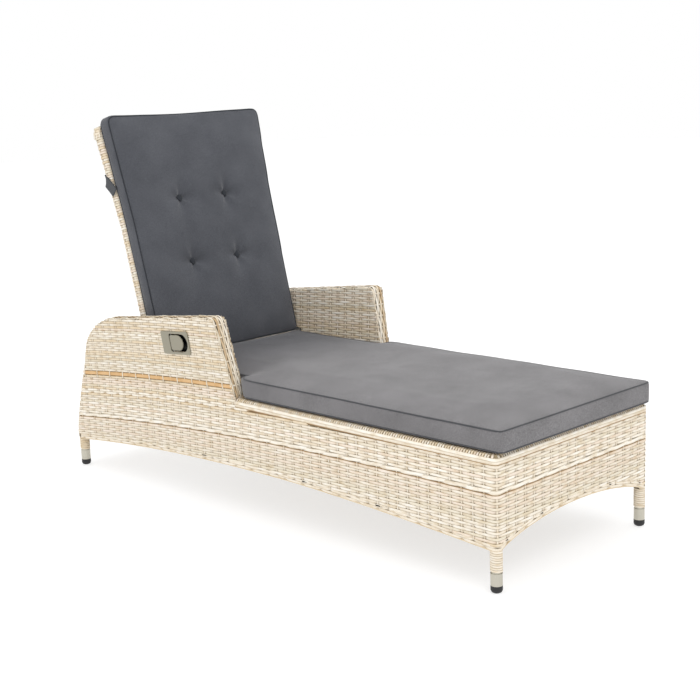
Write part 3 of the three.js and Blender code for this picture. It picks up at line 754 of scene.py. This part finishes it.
def rim_route(inset):
    """The seat's rim in plan, as a line at a distance inside its outer face, with outward normals."""
    x, foot, bend = HALF_WIDTH - inset, FOOT_Y + inset, CORNER - min(inset, 10 * MM)
    right = [(-x, y, -1.0, 0.0) for y in np.arange(ARM_FRONT + 5 * MM, foot + bend, -12 * MM)]
    turn = [(bend - x - bend * math.cos(t), foot + bend - bend * math.sin(t), -math.cos(t), -math.sin(t))
            for t in np.linspace(0, math.pi / 2, 7)]
    front = [(value, foot, 0.0, -1.0) for value in np.linspace(bend - x, 0, 28)[1:]]
    half = np.array(right + turn + front)
    line = np.concatenate([half, half[-2::-1] * (-1, 1, -1, 1)])
    return line[:, :2], line[:, 2:]


def add_rims(material, core_material):
    """A core roll bound by loops, with two lengthwise strands and a dark line on its outer side."""
    strands, core = Strands(), Strands()
    radius = (RIM_TOP - RIM_BOTTOM) / 2
    route, _ = rim_route(radius)
    centre_line = np.insert(route, 2, RIM_TOP - radius, axis=1)
    thick = 2 * (radius - 2.6 * MM)
    core.add(centre_line, xyz(0.0, 0.0, np.ones(len(route))), thick, thick, TAN)
    dense = resample(centre_line, 8.8 * MM)
    forward = unit(np.gradient(dense, axis=0))
    side = unit(np.cross(forward, (0, 0, 1.0)))
    angle = np.linspace(0, 2 * math.pi, 15)[:-1]
    for middle, ahead, across in zip(dense, forward, side):
        radial = across * np.cos(angle)[:, None] + np.array((0, 0, 1.0)) * np.sin(angle)[:, None]
        slant = ahead * (np.sin(angle) * rng.uniform(0.5, 2.0) * MM)[:, None]
        tint = (CREAM, TAN, WHITE, PINKISH)[rng.integers(0, 4)]
        reach = (radius - 1.4 * MM) * rng.uniform(0.96, 1.0)
        loop = middle + radial * reach + slant
        strands.add(loop, radial, 6.4 * MM, 1.6 * MM, varied(tint, 0.08), closed=True)
    # The brown strand under the two light ones is partly painted shadow of the gap under the rim's band.
    for drop, inset, lean, width, tint in ((14.5, 1.1, 0.2, 9.4, WHITE), (23, 1.3, -0.1, 9.4, CREAM),
                                           (29, 2.6, -0.3, 4, BROWN)):
        route, out = rim_route(inset * MM)
        line = np.insert(route, 2, RIM_TOP - drop * MM, axis=1)
        strands.add(line, np.insert(out, 2, lean, axis=1), width * MM, 1.7 * MM, varied(tint, 0.02))
    piece = strands.build("woven_rims", material)
    # The core takes the dark liner material: painted shade where it shows between the loops.
    core.build("rim_core", core_material)
    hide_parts("rim_side_left", "rim_side_right", "rim_foot")


def add_leg_wraps(material):
    strands = Strands()
    for end in ("foot", "head"):
        for side in ("left", "right"):
            low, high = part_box(f"leg_wrap_{end}_{side}")
            middle = (low + high) / 2
            bottom, top = ((middle.x, middle.y, z) for z in (low.z + 3 * MM, high.z + 4 * MM))
            radius = (high.x - low.x) / 2 - 0.9 * MM
            wrapped_roll(strands, bottom, top, radius, 6.4 * MM, (CREAM, TAN, PINKISH), 18, 6.2 * MM)
    piece = strands.build("woven_leg_wraps", material)
    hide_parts(*[f"leg_wrap_{e}_{s}" for e in ("foot", "head") for s in ("left", "right")])


def add_head_wall(material):
    """The leaning wall at the head end, its arch border and the wound roll on top."""
    strands = Strands()
    low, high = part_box("skirt_head")
    half = WALL - 6 * MM
    rail_z = high.z - 12 * MM
    levels = np.arange(low.z + 4 * MM, rail_z, PITCH)

    def surface(s, z):
        return xyz(-half + s, rear_edge(z) - 2.6 * MM, z), unit(xyz(0 * s, 1.0, 0.28))

    inside = lambda s, z: z - (end_arch(-half + s) - 18 * MM) - 4 * MM
    tints = row_tints(len(levels))
    weave_rows(strands, surface, 2 * half, levels, lambda s, level: level + 0 * s, inside, tints)
    weave_stakes(strands, surface, 2 * half, low.z, rail_z, inside)
    x = np.linspace(-half, half, 50)
    z = end_arch(x) - 18 * MM
    for offset in (0.0, 6.5 * MM):
        line = xyz(x, rear_edge(z + offset) - 1.5 * MM, z + offset)
        strands.add(line, xyz(0 * x, 1.0, 0.1), 7.5 * MM, 3.2 * MM, varied(TAN))
    roll_y = float(rear_edge(rail_z)) - 9 * MM
    left, right = ((x, roll_y, rail_z) for x in (-0.322, 0.322))
    wrapped_roll(strands, left, right, 11 * MM, 8.6 * MM, (CREAM, TAN, WHITE))
    piece = strands.build("woven_head_wall", material)
    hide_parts("skirt_head")


# ---- Liners behind the weave, dark with painted shade
def closed_mesh(name, points, faces, material=None):
    """A piece from points and faces, its normals turned outwards."""
    mesh = bpy.data.meshes.new(name)
    mesh.from_pydata([tuple(point) for point in points], [], faces)
    bm = bmesh.new()
    bm.from_mesh(mesh)
    bmesh.ops.recalc_face_normals(bm, faces=bm.faces)
    bm.to_mesh(mesh)
    bm.free()
    if material:
        mesh.materials.append(material)
    return add_object(name, mesh)


def block_faces(count):
    """Faces of a block whose near outline comes first and whose far outline follows."""
    sides = [((i + 1) % count, i, count + i, count + (i + 1) % count) for i in range(count)]
    return [tuple(range(count)), tuple(reversed(range(count, 2 * count)))] + sides


def swept(name, rings, material, closed):
    """A smooth closed mesh through rings of points, joined end to start or capped."""
    count, k = rings.shape[:2]
    faces = [(i * k + j, i * k + (j + 1) % k, (i + 1) % count * k + (j + 1) % k, (i + 1) % count * k + j)
             for i in range(count if closed else count - 1) for j in range(k)]
    if not closed:
        faces += [tuple(range(k - 1, -1, -1)), tuple((count - 1) * k + j for j in range(k))]
    piece = closed_mesh(name, rings.reshape(-1, 3), faces, material)
    smooth_shade(piece)
    return piece


def prism(name, outline, to_place, near, far, material, body="base"):
    """A closed board from an outline of (a, b) pairs between two depths."""
    points = [to_place(a, b, depth) for depth in (near, far) for a, b in outline]
    piece = closed_mesh(name, points, block_faces(len(outline)), material)
    attach(piece, body)
    return piece


def cut_mouth(board):
    """Opens the board behind the lever plate's mouth."""
    bpy.ops.mesh.primitive_cube_add(size=1, location=PLATE_MIDDLE, rotation=(-PLATE_TILT, 0, 0))
    cutter = bpy.context.object
    cutter.scale = (80 * MM, 132 * MM, 68 * MM)
    hole = board.modifiers.new("mouth", "BOOLEAN")
    hole.operation = "DIFFERENCE"
    hole.object = cutter
    apply_modifiers(board)
    bpy.data.objects.remove(cutter)


def add_liners(material):
    foot_start = FOOT_Y + END + 0.75 * CORNER
    ys = np.linspace(foot_start, HEAD_Y - 8 * MM, 40)
    lower = [(y, side_arch(y) + 3 * MM) for y in ys]
    rear = [(rear_edge(z) - 8 * MM, z) for z in np.linspace(0.12, RIM_TOP, 8)]
    arm_start = ARM_FRONT + 2 * MM
    side = lower + rear + [(arm_start, RIM_TOP), (arm_start, RIM_BOTTOM), (foot_start, RIM_BOTTOM)]
    back_y = [(y, z) for y, z in OUTLINE if z > RIM_TOP + 1 * MM]
    arm = [(ARM_FRONT + 5 * MM, RIM_TOP + 0.5 * MM)]
    arm += [(y + (5 if i == 0 else 0) * MM, z) for i, (y, z) in enumerate(inset_outline(back_y, 7 * MM))]
    arm += [(rear_edge(RIM_TOP) - 8 * MM, RIM_TOP + 0.5 * MM)]
    for name, sign in (("right", -1), ("left", 1)):
        flat = lambda y, z, depth, sign=sign: (sign * depth, y, z)
        prism(f"side_liner_{name}", side, flat, WALL - 4 * MM, WALL - 2.6 * MM, material)
        for face, offset in (("outer", -3.6 * MM), ("inner", 4.4 * MM)):
            inner = face == "inner"
            bend = lambda y, z, depth, sign=sign, inner=inner: (sign * (arm_face(z, inner) + depth), y, z)
            board = prism(f"arm_liner_{face}_{name}", arm, bend, offset, offset + 1 * MM, material)
            if (name, face) == ("right", "outer"):
                cut_mouth(board)
    reach = WALL - 0.75 * CORNER
    xs = np.linspace(-reach, reach, 30)
    foot = [(x, end_arch(x) + 3 * MM) for x in xs] + [(reach, RIM_BOTTOM), (-reach, RIM_BOTTOM)]
    prism("foot_liner", foot, lambda x, z, depth: (x, FOOT_Y + depth, z), 5.4 * MM, 6.8 * MM, material)
    rail_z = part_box("skirt_head")[1].z - 12 * MM
    reach = WALL - 8 * MM
    xs = np.linspace(-reach, reach, 30)
    head = [(x, end_arch(x) - 14 * MM) for x in xs] + [(reach, rail_z), (-reach, rail_z)]
    to_rear = lambda x, z, depth: (x, rear_edge(z) - depth, z)
    prism("head_liner", head, to_rear, 5.6 * MM, 7.0 * MM, material)


def inset_outline(points, distance):
    pts = np.array(points)
    normal = left_of(pts)
    if normal[0, 0] > 0:
        normal = -normal
    return [tuple(p) for p in pts - normal * distance]


# ---- Back
UP_BACK = Vector((0, math.cos(RECLINE), math.sin(RECLINE)))
OUT_BACK = Vector((0, -math.sin(RECLINE), math.cos(RECLINE)))


def leant(x, along, out):
    """A direction from the back's own axes: across, up the back, and out of its front."""
    return xyz(x, UP_BACK.y * along + OUT_BACK.y * out, UP_BACK.z * along + OUT_BACK.z * out)


def on_back(x, along, out):
    return leant(x, along, out) + np.array(PIVOT)


PANEL = SimpleNamespace(start=60 * MM, end=797 * MM, half=298 * MM, front=-50 * MM, rear=-90 * MM,
                        corner=22 * MM)


def panel_half(along):
    """Half width of the panel: it widens above the arms and is rounded at its top corners."""
    flat = np.interp(along, (0.060, 0.450, 0.775), (0.298, 0.303, 0.330))
    over = np.clip(along - (PANEL.end - PANEL.corner), 0, PANEL.corner)
    return flat - PANEL.corner + np.sqrt(PANEL.corner ** 2 - over ** 2)


LIP = 45 * MM                       # how far the weave comes in over the panel's front
TURN = 12 * MM                      # radius of the panel's long edges
LOOP_HALF = PANEL.half - 2.6 * MM
LOOP_OUT = (PANEL.front - 2.6 * MM - TURN, PANEL.rear + 2.6 * MM + TURN)
LOOP_MARKS = np.cumsum([LIP, TURN * math.pi / 2, LOOP_OUT[0] - LOOP_OUT[1], TURN * math.pi / 2])
LOOP_SPAN = 2 * float(LOOP_MARKS[-1] + LOOP_HALF - TURN)


def panel_loop(s):
    """Plan of the panel from its right front edge round the rear to its left front edge."""
    near = np.minimum(s, LOOP_SPAN - s)
    angle = np.interp(near, LOOP_MARKS, np.array((1, 2, 2, 3)) * math.pi / 2)
    x = TURN - LOOP_HALF + TURN * np.cos(angle)
    x += np.maximum(LIP - near, 0) + np.maximum(near - LOOP_MARKS[-1], 0)
    out = np.interp(near, LOOP_MARKS[1:3], LOOP_OUT) + TURN * np.sin(angle)
    side = np.where(2 * s <= LOOP_SPAN, 1, -1)
    return side * x, out, side * np.cos(angle), np.sin(angle)


def add_back_panel(material, liner):
    strands = Strands()
    levels = np.arange(PANEL.start + 6 * MM, PANEL.end - 10 * MM, PITCH)
    tints = row_tints(len(levels))

    def surface(s, along):
        x, out, nx, no = panel_loop(s)
        return on_back(x * panel_half(along) / PANEL.half, along, out), leant(nx, 0.0, no)

    everywhere = lambda s, z: np.ones(len(s))
    weave_rows(strands, surface, LOOP_SPAN, levels, lambda s, level: level + 0 * s, everywhere, tints)
    weave_stakes(strands, surface, LOOP_SPAN, PANEL.start, PANEL.end - 6 * MM, everywhere)
    mid = (PANEL.front + PANEL.rear) / 2
    r = PANEL.corner - 3 * MM
    half, top = float(panel_half(0.77)) - 3 * MM, PANEL.end - 3 * MM
    turn = np.linspace(0, math.pi / 2, 6)
    corner = [(half - r + r * math.sin(t), top - r + r * math.cos(t)) for t in turn]
    corner.append((half, top - r - 20 * MM))
    crest = resample(np.array([(-x, z) for x, z in reversed(corner)] + corner), STAKE / STEPS)
    outward = left_of(crest)
    for column in range(5):
        out = PANEL.rear + 5 * MM + column * 7.5 * MM
        bow = 3.5 * MM * (abs(out - mid) / (20 * MM)) ** 3
        rise = LIFT * np.cos(math.pi * (np.arange(len(crest)) / STEPS + column)) - bow
        edge = crest + outward * rise[:, None]
        strands.add(on_back(*edge.T, out), leant(*outward.T, 0.0), *RIBBON, varied(CREAM))
    piece = strands.build("woven_back_panel", material, "back")
    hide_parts("back_wicker")
    # Panel liners in the dark liner material: painted shade behind the panel's weave.
    for name, near, far in (("rear", PANEL.rear + 5.2 * MM, PANEL.rear + 6.8 * MM),
                            ("front", PANEL.front - 6.8 * MM, PANEL.front - 5.2 * MM)):
        rise = np.linspace(PANEL.start + 2 * MM, PANEL.end - 8 * MM, 30)
        edge = [(panel_half(along) - 6 * MM, along) for along in rise]
        outline = edge + [(-x, along) for x, along in reversed(edge)]
        prism(f"panel_liner_{name}", outline, on_back, near, far, liner, "back")


def add_strap(material):
    """The tape that goes from the cushion's edges round the back of the panel."""
    low, lift = 0.568, 0.052
    half = float(panel_half(low + lift)) + 1.6 * MM
    rear = PANEL.rear - 1.8 * MM
    front = -47 * MM
    width, thickness = 36 * MM, 1.6 * MM
    r = 12 * MM
    points = [(-half, front, 0.0), (-half, front - 12 * MM, 0.3)]
    points += [(-half + r - r * math.cos(t), rear + r - r * math.sin(t), 0.8 + 0.2 * math.sin(t))
               for t in np.linspace(0, math.pi / 2, 5)]
    points += [(x, rear - 0.8 * MM * math.cos(x / half * math.pi / 2), 1.0)
               for x in np.linspace(-half + 20 * MM, half - 20 * MM, 24)]
    points += [(-x, out, rise) for x, out, rise in reversed(points[:7])]
    x, out, rise = np.array(points).T
    centre_line = resample(on_back(x, low + lift * rise, out), 7 * MM)
    x = centre_line[:, 0]
    turn = np.clip((half - np.abs(x)) / r, 0, 1) * math.pi / 2
    normal = leant(np.cos(turn) * np.sign(x), 0.0, -np.sin(turn))
    tangent = unit(np.gradient(centre_line, axis=0))
    across = unit(np.cross(normal, tangent))
    normal = unit(np.cross(tangent, across))
    steps = np.arange(9) / 8 - 0.5
    section = np.array([(t, 0.5) for t in steps] + [(-t, -0.5) for t in steps])
    rings = (centre_line[:, None] + section[None, :, :1] * width * across[:, None]
             + section[None, :, 1:] * thickness * normal[:, None])
    piece = swept("strap_tape", rings, material, closed=False)
    attach(piece, "back")
    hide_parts("cushion_strap")


# ---- Cushions
def rounded(points, radii, steps=6):
    """A closed outline with its corners rounded; convex and concave corners alike."""
    out = []
    count = len(points)
    for i, (point, radius) in enumerate(zip(points, radii)):
        p = Vector(point)
        before = (Vector(points[i - 1]) - p).normalized()
        after = (Vector(points[(i + 1) % count]) - p).normalized()
        reach = radius / math.tan(before.angle(after) / 2)
        start, end = p + before * reach, p + after * reach
        for t in np.linspace(0, 1, steps):
            out.append(tuple(start * (1 - t) ** 2 + p * 2 * t * (1 - t) + end * t * t))
    return out


def cushion_body(name, outline, low, high, voxel):
    """A boxed block of an outline in the plane, remeshed into even quads."""
    points = [(x, y, z) for z in (low, high) for x, y in outline]
    piece = closed_mesh(name, points, block_faces(len(outline)))
    modifier = piece.modifiers.new("remesh", "REMESH")
    modifier.mode = "VOXEL"
    modifier.voxel_size = voxel
    apply_modifiers(piece)
    return piece


def apply_modifiers(piece):
    graph = bpy.context.evaluated_depsgraph_get()
    mesh = bpy.data.meshes.new_from_object(piece.evaluated_get(graph))
    piece.modifiers.clear()
    piece.data = mesh
    mesh.name = piece.name


def vertices(piece):
    co = np.zeros(len(piece.data.vertices) * 3)
    piece.data.vertices.foreach_get("co", co)
    return co.reshape(-1, 3)


def set_vertices(piece, co):
    piece.data.vertices.foreach_set("co", co.astype(np.float32).ravel())
    piece.data.update()


def segment_distance(points, outline):
    """Distance of plan points to a closed outline."""
    best = np.full(len(points), 1e9)
    ring = np.array(outline)
    for a, b in zip(ring, np.roll(ring, -1, 0)):
        d = b - a
        t = np.clip(((points - a) @ d) / max(d @ d, 1e-12), 0, 1)
        best = np.minimum(best, np.linalg.norm(points - a - t[:, None] * d, axis=1))
    return best


FRAMES = 20                         # length of the cushions' simulation
CLOTH = dict(quality=5, mass=0.3, tension_stiffness=12, compression_stiffness=12, bending_stiffness=0.6,
             use_pressure=True, uniform_pressure_force=6.0, vertex_group_mass="seams", pin_stiffness=1.0)


def puff(piece, outline, low, high, cap, held):
    """Inflates a block by cloth simulation with its seam lines held, within a cap."""
    start = vertices(piece)
    near_side = segment_distance(start[:, :2], outline) < 7 * MM
    near_face = np.minimum(np.abs(start[:, 2] - low), np.abs(start[:, 2] - high)) < 6 * MM
    pins = (near_side & near_face) | held(start)
    group = piece.vertex_groups.new(name="seams")
    group.add([int(i) for i in np.nonzero(pins)[0]], 1.0, "REPLACE")
    cloth = piece.modifiers.new("cloth", "CLOTH")
    for key, value in CLOTH.items():
        setattr(cloth.settings, key, value)
    cloth.settings.effector_weights.gravity = 0
    cloth.collision_settings.use_collision = False
    scene = bpy.context.scene
    for number in range(1, FRAMES + 1):
        scene.frame_set(number)
    apply_modifiers(piece)
    moved = vertices(piece) - start
    length = np.linalg.norm(moved, axis=1, keepdims=True)
    moved *= np.minimum(1, cap / np.maximum(length, 1e-9))
    set_vertices(piece, start + moved)
    scene.frame_set(1)
    piece.vertex_groups.clear()


def wrinkles(co, scale, amount, seed):
    """Slow unevenness of sewn fabric, from a few seeded waves."""
    waves = np.random.default_rng(seed)
    total = np.zeros(len(co))
    for _ in range(9):
        direction = unit(waves.normal(size=3))
        total += np.sin(co @ direction * scale * waves.uniform(0.6, 1.8) + waves.uniform(0, 6.3))
    return total / 9 * amount


def swell(co, outline, low, high, crown, reach, waves):
    """Crowns the upper face and lays slow waves over it. Returns each point's share of the height."""
    upper = np.clip((co[:, 2] - low) / (high - low), 0, 1)
    inset = segment_distance(co[:, :2], outline)
    co[:, 2] += (upper > 0.6) * crown * (1 - np.exp(-inset / reach))
    for axis, scale, amount, seed in waves:
        co[:, axis] += upper * wrinkles(co, scale, amount * MM, seed)
    return upper


def subdivide(piece):
    piece.modifiers.new("finer", "SUBSURF").levels = 1
    apply_modifiers(piece)


def piping(name, piece, outline, level, inward, radius, material):
    """A round cord sewn along an edge: it finds the cushion's edge by looking in at it diagonally."""
    tree = BVHTree.FromObject(piece, bpy.context.evaluated_depsgraph_get())
    ring = resample(np.array(list(outline) + [outline[0]]), 8 * MM)[:-1]
    tangent = unit(np.roll(ring, -1, 0) - np.roll(ring, 1, 0))
    out = xyz(tangent[:, 1], -tangent[:, 0])
    line = []
    for (x, y), (ox, oy) in zip(ring, out):
        direction = Vector((-ox, -oy, inward)).normalized()
        origin = Vector((x, y, level)) - direction * 60 * MM
        hit = tree.ray_cast(origin, direction)[0]
        line.append(np.array(hit if hit else (x, y, level)))
    line = np.array(line)
    for _ in range(2):
        line = (np.roll(line, 1, 0) + 2 * line + np.roll(line, -1, 0)) / 4
    forward = unit(np.roll(line, -1, 0) - np.roll(line, 1, 0))
    side = unit(np.cross(forward, (0, 0, 1.0)))
    angle = (np.arange(8) * math.pi / 4)[None, :, None]
    up = np.cross(side, forward)
    rings = line[:, None] + radius * (np.cos(angle) * side[:, None] + np.sin(angle) * up[:, None])
    return swept(name, rings, material, closed=True)


def add_seat_cushion(material, cord_material):
    low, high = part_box("seat_cushion")
    neck, wide = 0.300, high.x
    shoulder = ARM_FRONT - 10 * MM
    rear = high.y + 12 * MM
    outline = rounded([(-wide, low.y), (wide, low.y), (wide, shoulder), (neck, shoulder), (neck, rear),
                       (-neck, rear), (-neck, shoulder), (-wide, shoulder)],
                      [14 * MM, 14 * MM, 45 * MM, 4 * MM, 8 * MM, 8 * MM, 4 * MM, 45 * MM])
    small = [(x * 0.993, y if abs(y - low.y) > 0.02 else y + 2 * MM) for x, y in outline]
    bottom, top = low.z + 1 * MM, high.z - 7 * MM
    piece = cushion_body("seat_pad", small, bottom, top, 9 * MM)
    puff(piece, small, bottom, top, 14 * MM, lambda co: co[:, 2] < bottom + 2 * MM)
    co = vertices(piece)
    upper = swell(co, small, bottom, top, 9 * MM, 70 * MM, ((2, 14, 3.5, 3), (0, 22, 2.5, 5)))
    beside_arm = np.clip((co[:, 1] - shoulder) / (70 * MM) + 1, 0, 1) * (np.abs(co[:, 0]) > neck + 3 * MM)
    co[:, 1] += beside_arm * (4 * MM + 0.20 * np.maximum(co[:, 2] - RIM_TOP, 0))
    at_rear = np.clip((co[:, 1] - rear) / (40 * MM) + 1, 0, 1)
    co[:, 1] -= (1 - upper) * at_rear * 22 * MM   # the lower rear edge leaves room for the back's tube
    set_vertices(piece, co)
    subdivide(piece)
    smooth_shade(piece)
    piece.data.materials.append(material)
    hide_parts("seat_cushion")
    cords = [piping("seat_piping_top", piece, small, top, -1, 2.6 * MM, cord_material),
             piping("seat_piping_bottom", piece, small, bottom, 1, 2.6 * MM, cord_material)]
    for item in (piece, *cords):
        attach(item, "base")


def add_back_cushion(material, cord_material):
    """Made lying flat in the back's own axes, then stood up with it."""
    buttons = [(sign * 98 * MM, y) for y in (304 * MM, 522 * MM) for sign in (-1, 1)]
    length, front, rear = 812 * MM, 9 * MM, -46 * MM
    widths = [(0.300, 3 * MM), (0.306, 0.450), (0.326, length)]
    start = (-widths[0][0], widths[0][1])
    outline = rounded([start] + widths + [(-x, y) for x, y in reversed(widths[1:])],
                      [12 * MM, 12 * MM, 30 * MM, 26 * MM, 26 * MM, 30 * MM])
    top = front - 4 * MM
    piece = cushion_body("back_pad", outline, rear, top, 8 * MM)

    def held(co):
        near = np.min([np.hypot(co[:, 0] - bx, co[:, 1] - by) for bx, by in buttons], axis=0)
        return (co[:, 2] < rear + 2 * MM) | ((near < 12 * MM) & (co[:, 2] > 0))

    puff(piece, outline, rear, top, 17 * MM, held)
    co = vertices(piece)
    swell(co, outline, rear, top, 8 * MM, 60 * MM, ((2, 15, 3, 11), (0, 20, 2.5, 12), (1, 20, 2.5, 13)))
    slump = np.clip((co[:, 1] - 0.68) / 0.12, 0, 1)
    co[:, 1] += slump * (4 * MM - 9 * MM * np.cos(np.clip(co[:, 0] / 0.31, -1, 1) * math.pi / 2) ** 1.5)
    set_vertices(piece, co)
    subdivide(piece)
    co = vertices(piece)
    on_top = np.clip((co[:, 2] - (rear + front) / 2) / (20 * MM), 0, 1)
    sunk = np.zeros(len(co))
    for bx, by in buttons:
        dx, dy = co[:, 0] - bx, co[:, 1] - by
        r = np.hypot(dx, dy)
        star = 1 + 0.35 * np.cos(4 * np.arctan2(dy, dx) + 0.4)
        sunk = np.maximum(sunk, np.exp(-r / (24 * MM * star)))
    floor_level = -5.2 * MM
    target = co[:, 2] + (floor_level - co[:, 2]) * np.clip(sunk * 1.25, 0, 1)
    co[:, 2] = np.where(on_top > 0, co[:, 2] + (target - co[:, 2]) * on_top, co[:, 2])
    set_vertices(piece, co)
    smooth_shade(piece)
    piece.data.materials.append(material)
    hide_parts("back_cushion")
    cords = [piping("back_piping_front", piece, outline, top, -1, 2.7 * MM, cord_material),
             piping("back_piping_rear", piece, outline, rear, 1, 2.7 * MM, cord_material)]
    stand = Matrix.Translation(PIVOT) @ Matrix.Rotation(RECLINE, 4, "X")
    for item in (piece, *cords):
        item.data.transform(stand)
        attach(item, "back")


# ---- CAD nodes that keep their shape
def paint_frame(fabric, tuft_shade_fabric):
    materials = {
        "aluminium_frame": metal_material("brushed_aluminium", srgb(202, 198, 185), 0.3, (1, 1, 0.05)),
        "hinge_steel": metal_material("zinc_steel", srgb(160, 163, 166), 0.35),
        "foot_rubber": plain("rubber_black", (0.012, 0.012, 0.013), 0.55),
        "dark_plastic": plain("black_plastic", (0.01, 0.01, 0.011), 0.38),
        "lever_plastic": plain("lever_grey", srgb(142, 137, 120), 0.34),
        "spring_paint": plain("spring_black", (0.02, 0.02, 0.022), 0.3),
        "back_fabric": fabric,
        "wicker": painted_shade_liner_material(),
    }
    slots = {row["node"]: row["material_slot"] for row in frame["record"]["subparts"]}
    for name, node in frame["nodes"].items():
        # Painted shade: the tuft buttons take the darker cord fabric, for the shadow in the tufts' dimples.
        material = tuft_shade_fabric if name.startswith("tuft_button") else materials.get(slots[name])
        if material:
            node.data.materials.clear()
            node.data.materials.append(material)
    return materials["wicker"]


add_camera()
add_studio()
back_cloth = fabric_material("back_canvas", srgb(50, 52, 58), srgb(94, 96, 102), -RECLINE)
seat_cloth = fabric_material("seat_canvas", srgb(78, 77, 78), srgb(138, 136, 138), shaded=True)
back_cord = fabric_material("back_cord_canvas", srgb(34, 37, 42), srgb(54, 57, 63))
seat_cord = fabric_material("seat_cord_canvas", srgb(54, 55, 58), srgb(80, 81, 84))
tape = fabric_material("strap_canvas", srgb(52, 54, 58), srgb(80, 82, 86), pitch=2.2 * MM)
liner = paint_frame(back_cloth, back_cord)
weave = strand_material("resin_strand")
add_outer_walls(weave)
add_inner_arms(weave)
add_arm_edges(weave)
add_rims(weave, liner)
add_leg_wraps(weave)
add_head_wall(weave)
add_liners(liner)
add_back_panel(weave, liner)
add_strap(tape)
add_seat_cushion(seat_cloth, seat_cord)
add_back_cushion(back_cloth, back_cord)
